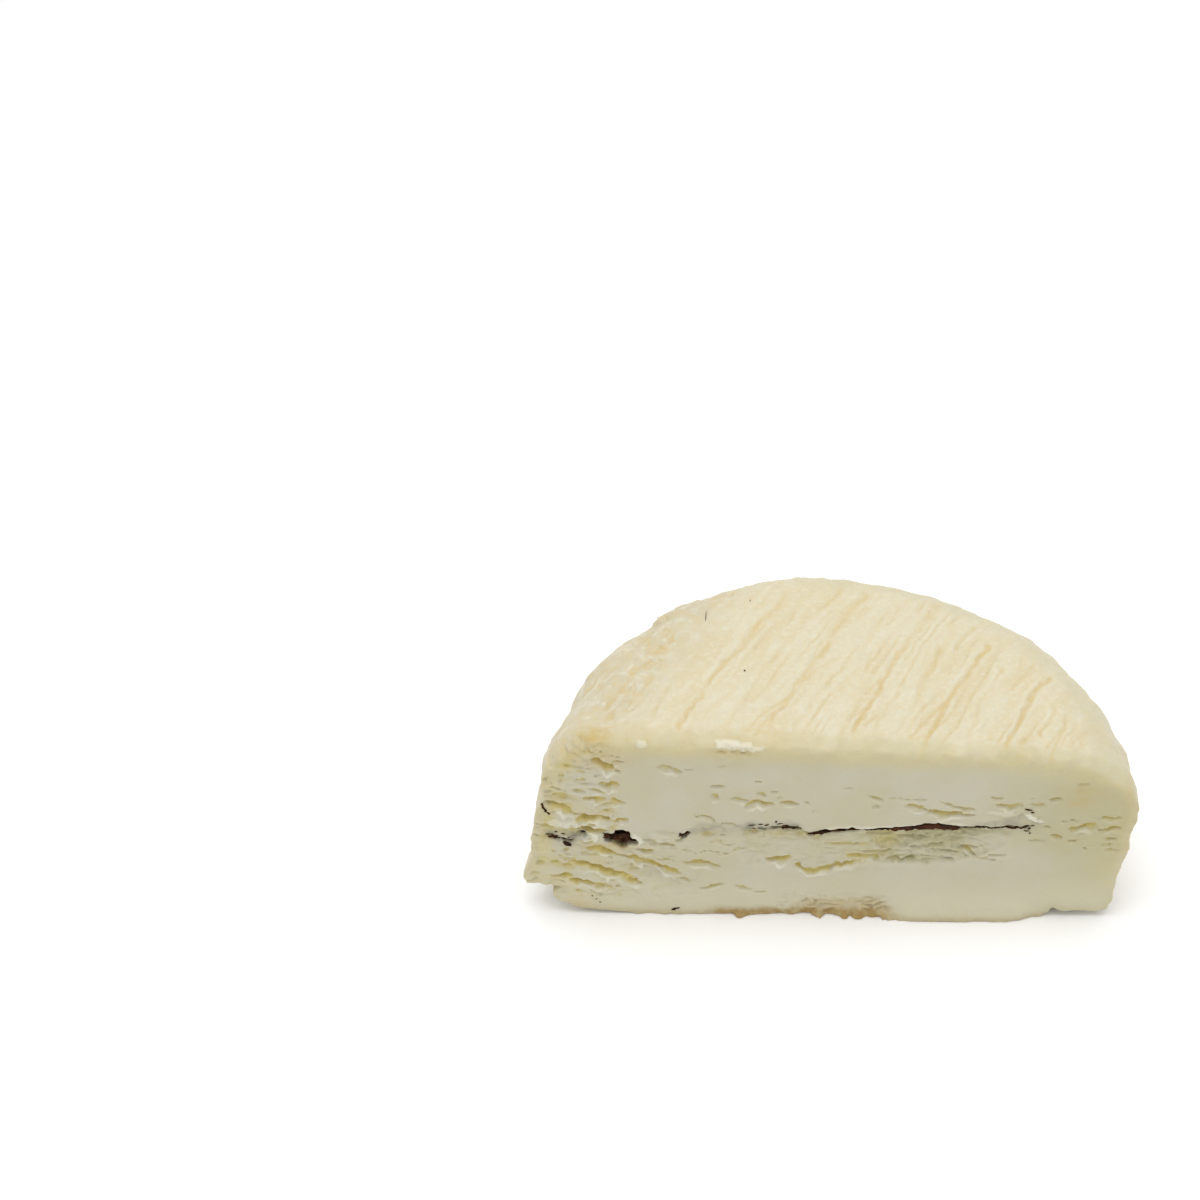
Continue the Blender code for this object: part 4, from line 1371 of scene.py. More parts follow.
    def dress(self, piece: bpy.types.Object, material: bpy.types.Material) -> None:
        """Gives the cheese its material and its place in the part."""
        piece.data.materials.clear()
        piece.data.materials.append(material)
        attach(piece, "root")
        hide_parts("cheese")


def applied(piece: bpy.types.Object) -> bpy.types.Mesh:
    """Turns a piece's modifiers into its mesh.

    Args:
        piece: The piece.

    Returns:
        Its new mesh.
    """
    graph = bpy.context.evaluated_depsgraph_get()
    mesh = bpy.data.meshes.new_from_object(piece.evaluated_get(graph))
    mesh.name = piece.name
    piece.modifiers.clear()
    piece.data = mesh
    return mesh


class Spread(Enum):
    """Where grains are set."""

    PATH = "path"
    POINTS = "points"


class GrainTree:
    """A geometry-node tree that sets small uneven grains along a path or on chosen points."""

    TILT = 0.6
    NOISE_SCALE = 3000.0

    def __init__(self, name: str, spread: Spread) -> None:
        """Builds the tree.

        Args:
            name: Name of the tree.
            spread: Where the grains are set.
        """
        self.tree = bpy.data.node_groups.new(name, "GeometryNodeTree")
        self.tree.is_modifier = True
        self.tree.interface.new_socket("Geometry", in_out="OUTPUT", socket_type="NodeSocketGeometry")
        for title, kind in (
            ("Geometry", "Geometry"), ("Spacing", "Float"), ("Size", "Float"), ("Least Scale", "Vector"),
            ("Most Scale", "Vector"), ("Unevenness", "Float"), ("Seed", "Int"), ("Material", "Material"),
        ):
            self.tree.interface.new_socket(title, in_out="INPUT", socket_type="NodeSocket" + kind)
        self.given = self.add("NodeGroupInput", {}).outputs
        points = getattr(self, spread.value)()
        scale = self.random(self.given["Least Scale"], self.given["Most Scale"])
        if spread is Spread.POINTS:
            named = {"Name": GRAIN_SCALE}
            own = self.add("GeometryNodeInputNamedAttribute", named, data_type="FLOAT_VECTOR")
            scale = self.vector("MULTIPLY", {0: scale, 1: own.outputs[0]})
        placed = self.add("GeometryNodeInstanceOnPoints", {
            "Points": points,
            "Instance": self.grain(),
            "Rotation": self.random((0.0, -self.TILT, 0.0), (0.0, self.TILT, 0.0)),
            "Scale": scale,
        }).outputs["Instances"]
        real = self.add("GeometryNodeRealizeInstances", {"Geometry": placed}).outputs[0]
        dressed = self.add("GeometryNodeSetMaterial", {"Geometry": real, "Material": self.given["Material"]})
        self.add("NodeGroupOutput", {"Geometry": dressed.outputs[0]})

    def add(self, kind: str, links: dict[object, object], **options: object) -> bpy.types.Node:
        """Adds a node.

        Args:
            kind: The node's type.
            links: A socket or a value for each of its inputs, by name or number.
            options: The node's own settings.

        Returns:
            The node.
        """
        node = self.tree.nodes.new(kind)
        for name, value in options.items():
            setattr(node, name, value)
        for name, value in links.items():
            if isinstance(value, Socket):
                self.tree.links.new(value, node.inputs[name])
            else:
                node.inputs[name].default_value = value
        return node

    def random(self, least: object, most: object) -> Socket:
        """A random vector between two, each a socket or three numbers."""
        links = {0: least, 1: most, "Seed": self.given["Seed"]}
        return self.add("FunctionNodeRandomValue", links, data_type="FLOAT_VECTOR").outputs[0]

    def vector(self, operation: str, links: dict[object, object]) -> Socket:
        """Arithmetic on vectors."""
        return self.add("ShaderNodeVectorMath", links, operation=operation).outputs[0]

    def path(self) -> Socket:
        """Points at even steps along a path."""
        curve = self.add("GeometryNodeMeshToCurve", {"Mesh": self.given["Geometry"]}).outputs[0]
        return self.add("GeometryNodeCurveToPoints", {
            "Curve": curve, "Length": self.given["Spacing"],
        }, mode="LENGTH").outputs["Points"]

    def points(self) -> Socket:
        """The mesh's own points."""
        return self.given["Geometry"]

    def grain(self) -> Socket:
        """One uneven grain."""
        size = {"Radius": self.given["Size"], "Subdivisions": 2}
        ball = self.add("GeometryNodeMeshIcoSphere", size).outputs[0]
        noise = self.add("ShaderNodeTexNoise", {"Scale": self.NOISE_SCALE, "Detail": 1.0}).outputs["Color"]
        middle = self.vector("SUBTRACT", {0: noise, 1: (0.5, 0.5, 0.5)})
        shift = self.vector("SCALE", {0: middle, "Scale": self.given["Unevenness"]})
        moved = self.add("GeometryNodeSetPosition", {"Geometry": ball, "Offset": shift}).outputs[0]
        return self.add("GeometryNodeSetShadeSmooth", {0: moved}).outputs[0]


@dataclass(frozen=True)
class Grains:
    """A kind of small bit on the cheese, in millimetres."""

    name: str
    spread: Spread
    slot: str
    size: float
    spacing: float
    least: tuple[float, float, float]
    most: tuple[float, float, float]
    uneven: float
    seed: int = 7

    def build(self, mesh: bpy.types.Mesh, material: bpy.types.Material) -> bpy.types.Object:
        """Sets the grains on a mesh and keeps only them.

        Args:
            mesh: The path or points.
            material: The grains' material.

        Returns:
            The grains as one piece.
        """
        piece = bpy.data.objects.new(self.name, mesh)
        bpy.context.scene.collection.objects.link(piece)
        tree = GrainTree(self.name, self.spread).tree
        values = {
            "Spacing": self.spacing * MM, "Size": self.size * MM, "Least Scale": self.least,
            "Most Scale": self.most, "Unevenness": self.uneven * MM, "Seed": self.seed, "Material": material,
        }
        modifier = piece.modifiers.new(self.name, "NODES")
        modifier.node_group = tree
        for item in tree.interface.items_tree:
            if item.name in values:
                modifier[item.identifier] = values[item.name]
        grains = applied(piece)
        log.info("%s: %d faces", self.name, len(grains.polygons))
        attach(piece, "root")
        return piece


@dataclass
class LeafBits:
    """Shreds and specks of leaf on the cheese: along the open seam, on the cut and on the rind."""

    cut: CutRelief
    rind: RindRelief
    outline: Outline
    sunk: float = 0.04
    speck_depth: float = 0.22
    speck_height: float = 0.16
    shred_step: float = 0.1
    deepest: float = 0.5
    shred_runs: tuple[tuple[float, float, float], ...] = (
        (-35.3, -34.7, 0.2), (-33.6, -32.6, 0.4), (-28.2, -24.5, 1.2), (-18.8, -18.0, 0.4),
        (-5.9, -4.4, 0.2), (-2.4, -0.6, 0.05), (-0.3, 3.6, 0.05), (4.5, 7.6, 0.06), (7.8, 16.4, 0.12),
        (16.6, 17.5, 0.05), (18.0, 19.2, 0.06), (19.5, 21.0, 0.05), (21.3, 24.4, 0.06),
    )
    on_cut: tuple[tuple[float, float, float, float], ...] = (
        (-35.6, 13.6, 1.2, 0.12), (-34.9, 13.4, 0.8, 0.12), (-34.5, 13.9, 0.4, 0.26),
        (-34.1, 13.1, 0.8, 0.12), (-33.6, 13.7, 0.5, 0.16), (-33.2, 12.2, 1.3, 0.9),
        (-32.9, 13.3, 0.7, 0.12), (-35.95, 18.5, 0.3, 0.8), (-35.88, 18.32, 0.3, 0.8),
        (-35.8, 18.14, 0.3, 0.8), (-35.72, 17.97, 0.3, 0.8), (-35.64, 17.8, 0.3, 0.8),
        (-35.55, 17.62, 0.3, 0.8), (-35.45, 17.45, 0.3, 0.8), (-35.33, 17.27, 0.3, 0.8),
        (-35.2, 17.1, 0.3, 0.7), (-9.7, 15.5, 1.1, 0.12), (-8.6, 15.6, 1.0, 0.14),
        (-7.9, 15.5, 0.7, 0.22), (-7.1, 15.0, 1.0, 0.12), (-6.7, 16.1, 0.4, 0.34),
        (-6.3, 15.6, 1.0, 0.14), (-5.6, 15.3, 1.1, 0.2), (-4.9, 14.9, 0.8, 0.26), (-9.3, 14.4, 1.0, 0.1),
        (-18.7, 13.9, 0.4, 0.7), (-18.4, 13.3, 0.4, 0.4), (24.3, 18.3, 0.9, 0.4), (24.8, 17.9, 0.6, 0.3),
        (24.0, 15.6, 0.9, 0.16), (24.5, 15.2, 0.7, 0.3), (24.2, 14.8, 0.8, 0.16), (24.9, 15.7, 0.6, 0.16),
        (24.6, 14.4, 0.4, 0.3), (-30.6, 2.9, 0.2, 0.2), (-30.1, 2.5, 0.2, 0.2), (-29.6, 2.0, 0.2, 0.2),
        (-20.1, 1.0, 0.8, 0.5), (-19.6, 1.2, 0.5, 0.3), (-11.5, 0.6, 0.4, 0.5),
    )
    on_top: tuple[tuple[float, float, float, float], ...] = (
        (-16.05, 6.3, 0.09, 3.0), (-10.7, -5.1, 0.26, 0.26), (-10.4, 10.0, 0.2, 0.2),
    )

    def points(self) -> bpy.types.Mesh:
        """Places the specks on the cut and on the rind.

        Returns:
            A mesh of points that carry the specks' scale.
        """
        places, scales = [], []
        for x, z, wide, high in self.on_cut:
            depth = float(self.cut.depth(np.array([x]), np.array([z]))[0])
            places.append((x, CUT_Y + depth - self.sunk, z))
            scales.append((wide, self.speck_depth, high))
        for x, y, wide, long in self.on_top:
            at = np.array([x]), np.array([y])
            height = float((self.outline.top(*at) + self.rind.top(*at))[0])
            places.append((x, y, height + 3.0 * self.sunk))
            scales.append((wide, long, self.speck_height))
        mesh = bpy.data.meshes.new("leaf_specks")
        mesh.from_pydata((np.array(places) * MM).tolist(), [], [])
        layer = mesh.attributes.new(GRAIN_SCALE, "FLOAT_VECTOR", "POINT")
        layer.data.foreach_set("vector", np.array(scales, np.float32).ravel())
        return mesh

    def seam(self) -> bpy.types.Mesh:
        """Lays the path of the shreds along the seam, wandering over the opening's height.

        Returns:
            A mesh of one chain of edges for each run.
        """
        places, edges = [], []
        for low, high, wander in self.shred_runs:
            xs = np.arange(low, high, self.shred_step)
            lift = wander * self.cut.noise.at(xs / 0.45, 3.5, 91.0)
            zs = self.cut.seam.both(xs) + lift
            ys = CUT_Y + np.minimum(self.cut.depth(xs, zs), self.deepest) - self.sunk
            first = len(places)
            places.extend(zip(xs * MM, ys * MM, zs * MM))
            edges.extend((number, number + 1) for number in range(first, len(places) - 1))
        mesh = bpy.data.meshes.new("leaf_shreds")
        mesh.from_pydata([tuple(map(float, place)) for place in places], edges, [])
        return mesh


class Shader:
    """A small builder for one material's nodes."""

    def __init__(self, name: str) -> None:
        """Starts a material with a Principled shader.

        Args:
            name: Name of the material.
        """
        self.material = bpy.data.materials.new(name)
        self.material.use_nodes = True
        self.tree = self.material.node_tree
        self.surface = self.tree.nodes["Principled BSDF"]
        self.place = self.tree.nodes.new("ShaderNodeTexCoord").outputs["Object"]

    def plug(self, value: object, socket: Socket) -> None:
        """Links a socket to an input, or sets the input to a number or a colour."""
        if isinstance(value, Socket):
            self.tree.links.new(value, socket)
        elif isinstance(value, tuple) and len(value) < len(socket.default_value):
            socket.default_value = (*value, 1.0)
        else:
            socket.default_value = value

    def dress(self, values: dict[str, object]) -> None:
        """Gives the surface's own inputs their sockets or values, by name."""
        for name, value in values.items():
            self.plug(value, self.surface.inputs[name])

    def height(self) -> Socket:
        """Height above the floor, in metres."""
        node = self.tree.nodes.new("ShaderNodeSeparateXYZ")
        self.tree.links.new(self.place, node.inputs[0])
        return node.outputs["Z"]

    def attribute(self, channel: Channel) -> Socket:
        """A value that the mesh carries."""
        node = self.tree.nodes.new("ShaderNodeAttribute")
        node.attribute_name = channel.value
        return node.outputs["Fac"]

    def stretched(self, scale: tuple[float, float, float], turn: float = 0.0) -> Socket:
        """Object coordinates scaled along each axis after a turn about z.

        Args:
            scale: Scale along x, y and z.
            turn: Turn in radians.

        Returns:
            The mapped coordinates.
        """
        turned = self.tree.nodes.new("ShaderNodeMapping")
        self.plug((0.0, 0.0, turn), turned.inputs["Rotation"])
        self.plug(self.place, turned.inputs["Vector"])
        node = self.tree.nodes.new("ShaderNodeMapping")
        self.plug(scale, node.inputs["Scale"])
        self.plug(turned.outputs["Vector"], node.inputs["Vector"])
        return node.outputs["Vector"]

    def noise(self, place: Socket, scale: float, detail: float = 3.0, rough: float = 0.55) -> Socket:
        """Noise at a place.

        Args:
            place: Coordinates.
            scale: Cells per unit.
            detail: Octaves.
            rough: Weight of the finer octaves.

        Returns:
            The noise's value.
        """
        node = self.tree.nodes.new("ShaderNodeTexNoise")
        for name, value in (("Vector", place), ("Scale", scale), ("Detail", detail), ("Roughness", rough)):
            self.plug(value, node.inputs[name])
        return node.outputs["Fac"]

    def ramp(self, value: Socket, low: float, high: float, start: float = 0.0, end: float = 1.0) -> Socket:
        """A soft, clamped change of range.

        Args:
            value: The value to map.
            low: Where the change starts.
            high: Where it ends.
            start: Result at the start.
            end: Result at the end.

        Returns:
            The mapped value.
        """
        node = self.tree.nodes.new("ShaderNodeMapRange")
        node.interpolation_type = "SMOOTHSTEP"
        names = ("Value", "From Min", "From Max", "To Min", "To Max")
        for name, given in zip(names, (value, low, high, start, end)):
            self.plug(given, node.inputs[name])
        return node.outputs["Result"]

    def math(self, operation: str, a: object, b: object = 0.0) -> Socket:
        """Arithmetic on values or sockets.

        Args:
            operation: Name of the operation.
            a: First value or socket.
            b: Second value or socket.

        Returns:
            The result.
        """
        node = self.tree.nodes.new("ShaderNodeMath")
        node.operation = operation
        for socket, value in zip(node.inputs, (a, b)):
            self.plug(value, socket)
        return node.outputs["Value"]

    def mix(self, share: object, a: object, b: object) -> Socket:
        """Mixes two colours, each a socket or three numbers.

        Args:
            share: How much of the second colour.
            a: First colour.
            b: Second colour.

        Returns:
            The mixed colour.
        """
        node = self.tree.nodes.new("ShaderNodeMix")
        node.data_type = "RGBA"
        for name, value in (("Factor", share), (6, a), (7, b)):
            self.plug(value, node.inputs[name])
        return node.outputs[2]

    def coat(self, under: Socket, over: Colour, share: Socket, where: Socket | None = None) -> Socket:
        """Lays a colour over another one.

        Args:
            under: The colour below.
            over: The colour on top.
            share: How much of it shows.
            where: A second share that scales the first one.

        Returns:
            The mixed colour.
        """
        if where is not None:
            share = self.math("MULTIPLY", where, share)
        return self.mix(share, under, over)

    def relief(self, height: Socket, distance: float, strength: float) -> None:
        """Adds fine relief to the surface, after any that it has."""
        node = self.tree.nodes.new("ShaderNodeBump")
        node.inputs["Distance"].default_value = distance * MM
        node.inputs["Strength"].default_value = strength
        self.tree.links.new(height, node.inputs["Height"])
        normal = self.surface.inputs["Normal"]
        if normal.is_linked:
            self.tree.links.new(normal.links[0].from_socket, node.inputs["Normal"])
        self.tree.links.new(node.outputs["Normal"], normal)


@dataclass(frozen=True)
class Mottling:
    """The noises that vary the cheese's colours, from the broadest to the finest."""

    patch: Socket
    streak: Socket
    curd: Socket
    speckle: Socket
    fine: Socket
    mottle: Socket


@dataclass(frozen=True)
class CheeseFinish:
    """Pale, slightly translucent cheese: a creamy rind with peach grooves, and a whiter paste at the cut."""

    paste: Colour = (0.532, 0.503, 0.385)
    paste_warm: Colour = (0.52, 0.483, 0.34)
    under_rind: Colour = (0.56, 0.50, 0.275)
    # olive colour, partly painted shade in the band under the leaf
    olive: Colour = (0.465, 0.43, 0.255)
    cream: Colour = (0.61, 0.56, 0.405)
    peach: Colour = (0.60, 0.52, 0.34)
    bloom: Colour = (0.65, 0.62, 0.50)
    margin: Colour = (0.525, 0.485, 0.315)
    dusk: Colour = (0.52, 0.468, 0.33)
    groove: Colour = (0.58, 0.455, 0.23)
    # lighter paste for the painted light at the bottom of the cut
    low_paste_painted_light: Colour = (0.585, 0.55, 0.405)
    # painted warm shade colour for the slits and creases, standing in for light scattered inside them
    pit: Colour = (0.59, 0.495, 0.175)
    # painted shadow colour for the inside of the leaf slot and the hollow
    shade: Colour = (0.045, 0.018, 0.008)
    stain: Colour = (0.215, 0.21, 0.165)
    ochre: Colour = (0.50, 0.38, 0.155)
    # tan of the dried foot, also used for painted shade in the crags' creases
    tan: Colour = (0.34, 0.22, 0.065)
    # white of torn curd, also used for the painted highlight on the lips of the slits
    white: Colour = (0.70, 0.685, 0.58)
    streak_turn: float = math.radians(25.0)
    streak_scale: tuple[float, float, float] = (620.0, 130.0, 300.0)
    smear_scale: tuple[float, float, float] = (420.0, 900.0, 1500.0)
    patch_scale: float = 160.0
    curd_scale: float = 560.0
    speckle_scale: float = 620.0
    fine_scale: float = 1100.0
    mottle_scale: float = 1500.0
    translucency: float = 0.3
    scatter_depth: float = 0.0009
    scatter: Colour = (1.0, 0.7, 0.35)
    # heights in metres over which the painted light at the bottom of the cut fades in
    painted_light_from: float = 0.009
    painted_light_full: float = 0.002

    def mottling(self, s: Shader) -> Mottling:
        """Makes the noises that the colours share."""
        return Mottling(
            patch=s.noise(s.place, self.patch_scale, 4.0),
            streak=s.noise(s.stretched(self.streak_scale, self.streak_turn), 1.0, 4.0, 0.6),
            curd=s.noise(s.place, self.curd_scale, 2.0, 0.6),
            speckle=s.noise(s.place, self.speckle_scale, 4.0, 0.65),
            fine=s.noise(s.place, self.fine_scale, 3.0),
            mottle=s.noise(s.place, self.mottle_scale, 3.0, 0.6),
        )

    def rind_colour(self, s: Shader, noise: Mottling) -> Socket:
        """Colour of the rind: cream ridges, peach creases, a white bloom and a duller, wrinkled left.

        Args:
            s: The material's builder.
            noise: The shared noises.

        Returns:
            The colour.
        """
        wrinkled = s.attribute(Channel.WRINKLED)
        ridge = s.math("ADD", s.attribute(Channel.RIDGE), s.math("SUBTRACT", noise.streak, 0.5))
        groove = s.math("MULTIPLY", s.attribute(Channel.GROOVE), s.ramp(noise.speckle, 0.35, 0.6, 0.6, 1.1))
        top = s.mix(s.ramp(ridge, -0.6, 0.4), self.peach, self.cream)
        specks = s.math("ADD", noise.speckle, noise.streak)
        top = s.coat(top, self.bloom, s.ramp(specks, 0.95, 1.35, 0.0, 0.5))
        top = s.coat(top, self.bloom, s.ramp(noise.mottle, 0.52, 0.7, 0.0, 0.55))
        top = s.coat(top, self.peach, s.ramp(noise.mottle, 0.46, 0.3, 0.0, 0.6))
        top = s.coat(top, self.dusk, s.ramp(noise.patch, 0.3, 0.7, 0.9, 0.5), wrinkled)
        top = s.coat(top, self.bloom, s.ramp(noise.curd, 0.5, 0.68, 0.0, 0.55), wrinkled)
        top = s.coat(top, self.groove, s.ramp(noise.curd, 0.48, 0.34, 0.0, 0.42), wrinkled)
        calm = s.attribute(Channel.MARGIN)
        top = s.coat(top, self.margin, s.ramp(noise.patch, 0.35, 0.6, 0.95, 0.6), calm)
        return s.coat(top, self.groove, s.ramp(groove, 0.0, 0.95, 0.0, 0.85))

    def paste_colour(self, s: Shader, noise: Mottling) -> Socket:
        """Colour of the cut: warmer and yellower under the rind; olive in the band under the leaf, partly as
        painted shade, and towards the right end; lighter towards the bottom as painted light; and painted warm
        shade in the slits and torn creases.

        Args:
            s: The material's builder.
            noise: The shared noises.

        Returns:
            The colour.
        """
        paste = s.mix(s.ramp(noise.patch, 0.35, 0.65), self.paste, self.paste_warm)
        unevenness = s.math("MULTIPLY", s.math("SUBTRACT", noise.patch, 0.5), 3.0)
        from_rind = s.math("ADD", s.attribute(Channel.RIND), unevenness)
        paste = s.coat(paste, self.under_rind, s.ramp(from_rind, 0.3, 3.4, 0.85, 0.0))
        # olive: partly painted shade in the band under the leaf
        paste = s.coat(paste, self.olive, s.attribute(Channel.OLIVE))
        # painted light: the paste is lightened towards the bottom of the cut, which the lamp and the floor
        # light less
        low = s.ramp(s.height(), self.painted_light_from, self.painted_light_full, 0.0, 0.9)
        paste = s.coat(paste, self.low_paste_painted_light, low)
        # painted warm shade in the slits and torn creases
        return s.coat(paste, self.pit, s.ramp(s.attribute(Channel.PIT), 0.08, 0.55, 0.0, 0.95))

    def material(self) -> bpy.types.Material:
        """Builds the material.

        Returns:
            The finished material.
        """
        s = Shader("goat_cheese")
        noise = self.mottling(s)
        colour = s.mix(s.attribute(Channel.CUT), self.rind_colour(s, noise), self.paste_colour(s, noise))
        flecks = s.ramp(noise.speckle, 0.35, 0.6, 0.5, 1.0)
        colour = s.coat(colour, self.ochre, flecks, s.attribute(Channel.OCHRE))
        # white torn bits, and painted highlight on the lips of the slits
        colour = s.coat(colour, self.white, s.ramp(s.attribute(Channel.FRESH), 0.05, 0.9))
        # tan of the dried foot, and painted shade in the crags' creases
        colour = s.coat(colour, self.tan, s.ramp(noise.fine, 0.3, 0.6, 0.5, 0.9), s.attribute(Channel.TAN))
        flecks = s.ramp(noise.speckle, 0.4, 0.6, 0.3, 1.0)
        colour = s.coat(colour, self.stain, flecks, s.attribute(Channel.STAIN))
        # painted shadow inside the leaf slot and the hollow
        colour = s.coat(colour, self.shade, s.attribute(Channel.SHADE))
        s.dress({
            "Base Color": colour,
            "Roughness": s.ramp(noise.fine, 0.3, 0.7, 0.42, 0.6),
            "Subsurface Weight": self.translucency,
            "Subsurface Scale": self.scatter_depth,
            "Subsurface Radius": self.scatter,
            "Specular IOR Level": 0.3,
            "IOR": 1.42,
        })
        s.relief(noise.fine, 0.1, 0.3)
        s.relief(s.noise(s.stretched(self.smear_scale), 1.0, 3.0), 0.08, 0.4)
        s.relief(noise.mottle, 0.15, 0.6)
        return s.material


@dataclass(frozen=True)
class LeafFinish:
    """Dried dark leaf, brown in patches and nearly black between them."""

    name: str = "dried_leaf"
    dark: Colour = (0.024, 0.010, 0.005)
    brown: Colour = (0.07, 0.027, 0.011)

    def material(self) -> bpy.types.Material:
        """Builds the material.

        Returns:
            The finished material.
        """
        s = Shader(self.name)
        patch = s.noise(s.place, 700.0, 4.0)
        s.dress({
            "Base Color": s.mix(s.ramp(patch, 0.38, 0.58), self.dark, self.brown),
            "Roughness": s.ramp(patch, 0.3, 0.7, 0.45, 0.75),
            "Specular IOR Level": 0.06,
        })
        s.relief(s.noise(s.place, 2500.0, 3.0), 0.1, 0.5)
        return s.material


@dataclass(frozen=True)
class FloorFinish:
    """Plain pale floor."""

    colour: Colour = (0.97, 0.97, 0.97)

    def material(self) -> bpy.types.Material:
        """Builds the material.

        Returns:
            The finished material.
        """
        s = Shader("pale_floor")
        s.dress({"Base Color": self.colour, "Roughness": 0.6, "Specular IOR Level": 0.2})
        return s.material


@dataclass
class Studio:
    """Pale floor, soft light from above, and the camera at the photograph's angle."""

    elevation: float = math.radians(43.0)
    distance: float = 313.5
    pixels_per_mm: float = 7.895
    picture: float = 1200.0
    target: tuple[float, float, float] = (CENTRE_X, CUT_Y, 11.4)
    target_pixel: Span = (838.0, 850.5)
    clip: Span = (0.01, 20.0)
    sensor: float = 36.0
    floor_half: float = 3000.0
    world_strength: float = 0.8
    lamp_place: tuple[float, float, float] = (0.0, -20.0, 460.0)
    lamp_size: float = 420.0
    lamp_power: float = 1.25

    def camera(self) -> None:
        """Sets the camera so that the target lands on its pixel, with no lens shift."""
        focal = self.pixels_per_mm * self.distance
        data = bpy.data.cameras.new("camera")
        data.sensor_width = self.sensor
        data.lens = self.sensor * focal / self.picture
        data.clip_start, data.clip_end = self.clip
        sin, cos = math.sin(self.elevation), math.cos(self.elevation)
        back = Vector((0.0, -cos, sin))
        upright = Matrix(((1.0, 0.0, 0.0), (0.0, sin, -cos), (0.0, cos, sin)))
        half = 0.5 * self.picture
        aim = Vector((self.target_pixel[0] - half, half - self.target_pixel[1], -focal)).normalized()
        turn = Vector((0.0, 0.0, -1.0)).rotation_difference(aim).to_matrix()
        camera = bpy.data.objects.new("camera", data)
        place = (Vector(self.target) + self.distance * back) * MM
        camera.matrix_world = Matrix.Translation(place) @ (upright @ turn.inverted()).to_4x4()
        bpy.context.scene.collection.objects.link(camera)
        bpy.context.scene.camera = camera

    def lamp(self, name: str, place: tuple[float, float, float], size: float, power: float) -> None:
        """Adds a soft square lamp that points at the cheese.

        Args:
            name: Name of the lamp.
            place: Where it stands, in millimetres.
            size: Its side, in millimetres.
            power: Its power in watts.
        """
        data = bpy.data.lights.new(name, "AREA")
        data.shape = "SQUARE"
        data.size = size * MM
        data.energy = power
        lamp = bpy.data.objects.new(name, data)
        lamp.location = Vector(place) * MM
        lamp.rotation_euler = (-Vector(place)).to_track_quat("-Z", "Y").to_euler()
        bpy.context.scene.collection.objects.link(lamp)

    def floor(self, finish: FloorFinish) -> None:
        """Lays the floor.

        Args:
            finish: The floor's finish.
        """
        half = self.floor_half * MM
        mesh = bpy.data.meshes.new("floor")
        corners = [(-half, -half, 0.0), (half, -half, 0.0), (half, half, 0.0), (-half, half, 0.0)]
        mesh.from_pydata(corners, [], [(0, 1, 2, 3)])
        mesh.materials.append(finish.material())
        floor = bpy.data.objects.new("floor", mesh)
        bpy.context.scene.collection.objects.link(floor)

    def build(self) -> None:
        """Sets up the whole studio."""
        world = bpy.data.worlds.new("studio")
        world.use_nodes = True
        sky = world.node_tree.nodes["Background"]
        sky.inputs["Color"].default_value = (1.0, 1.0, 1.0, 1.0)
        sky.inputs["Strength"].default_value = self.world_strength
        bpy.context.scene.world = world
        bpy.context.scene.view_settings.view_transform = "Standard"
        self.floor(FloorFinish())
        self.lamp("overhead", self.lamp_place, self.lamp_size, self.lamp_power)
        self.camera()


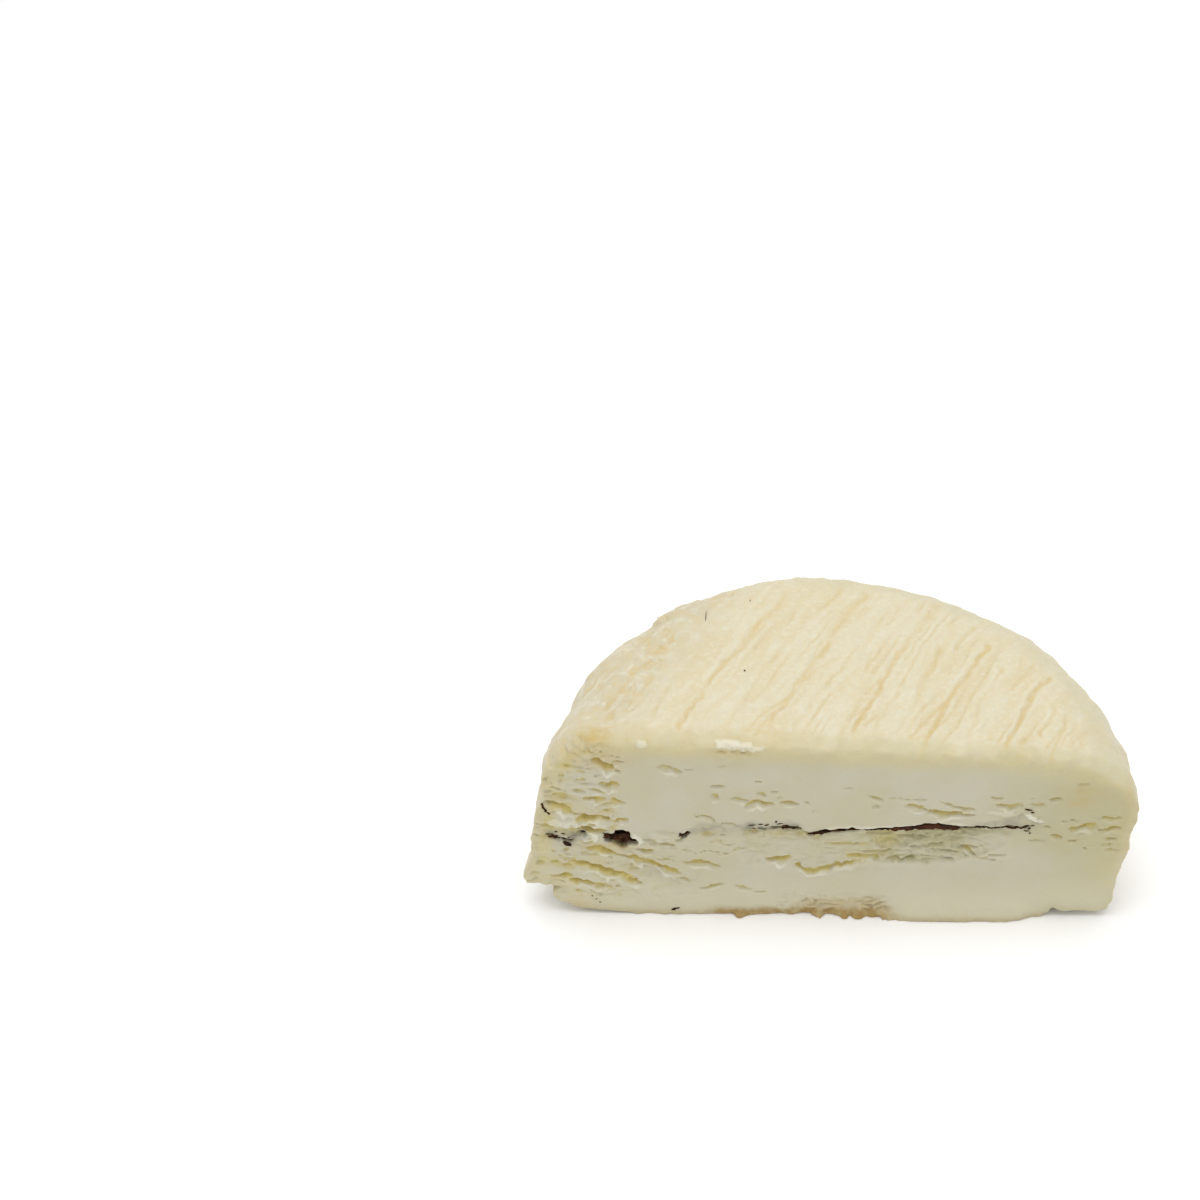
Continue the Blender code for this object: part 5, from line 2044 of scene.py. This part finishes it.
def leaf_blades(seam: Seam) -> tuple[LeafBlade, LeafBlade]:
    """The two blades of leaf that show at the cut.

    Args:
        seam: The line that they follow.

    Returns:
        The long blade at the right and the short, folded one at the left.
    """
    right = LeafBlade(
        name="leaf_layer_right",
        section=seam.right,
        reach=26.0,
        inset=(
            (-18.6, 0.3), (-17.8, 0.5), (-17.0, 1.6), (-8.0, 1.6), (-7.0, 1.2), (-6.0, 0.7), (-4.6, 0.6),
            (-3.9, 1.2), (-2.6, 0.9), (-2.0, 0.2), (3.2, 0.2), (3.8, 1.2), (4.4, 1.0), (4.9, 0.2),
            (7.2, 0.2), (7.8, -0.1), (16.0, -0.05), (16.8, 1.3), (23.6, 1.3), (24.1, 0.5), (24.4, 0.5),
        ),
        swell=(
            (-18.6, 0.15), (-17.8, 0.0), (4.4, 0.0), (5.2, 0.07), (7.4, 0.04), (8.2, 0.2), (10.6, 0.18),
            (12.0, 0.34), (14.4, 0.36), (15.8, 0.08), (16.6, -0.06), (18.0, 0.0), (24.4, 0.0),
        ),
    )
    left = LeafBlade(
        name="leaf_layer_left",
        section=seam.left,
        reach=13.0,
        inset=(
            (-35.2, 0.2), (-34.5, 0.3), (-34.0, 1.6), (-32.4, 1.6), (-31.8, 0.9), (-29.0, 0.9),
            (-28.3, 0.3), (-24.4, 0.35),
        ),
        swell=((-35.2, 0.0), (-24.4, 0.0)),
        lump=(-26.3, 0.75, 1.3, 2.0),
    )
    return right, left


def leaf_grains() -> tuple[Grains, Grains]:
    """The two kinds of small bits of leaf.

    Returns:
        The shreds along the seam and the specks.
    """
    shreds = Grains(
        name="leaf_shreds",
        spread=Spread.PATH,
        slot="leaf",
        size=0.2,
        spacing=0.3,
        least=(0.8, 0.6, 0.1),
        most=(2.6, 1.2, 0.34),
        uneven=0.14,
    )
    specks = Grains(
        name="leaf_specks",
        spread=Spread.POINTS,
        slot="leaf",
        size=0.42,
        spacing=0.0,
        least=(0.7, 1.0, 0.7),
        most=(1.3, 1.0, 1.1),
        uneven=0.5,
    )
    return shreds, specks


def main() -> None:
    """Builds every piece in order and reports each."""
    logging.basicConfig(level=logging.INFO, format="%(name)s: %(message)s")
    blades = leaf_blades(Seam())
    half = HalfCheese(blades)
    half.dress(half.build(), CheeseFinish().material())
    leaf = LeafFinish().material()
    for blade, node in zip(blades, ("leaf_right", "leaf_left")):
        piece = blade.build(leaf)
        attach(piece, "root")
        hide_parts(node)
    bits = LeafBits(half.cut, half.rind, half.outline)
    shreds, specks = leaf_grains()
    shreds.build(bits.seam(), leaf)
    specks.build(bits.points(), leaf)
    Studio().build()


if __name__ == "__main__":
    main()
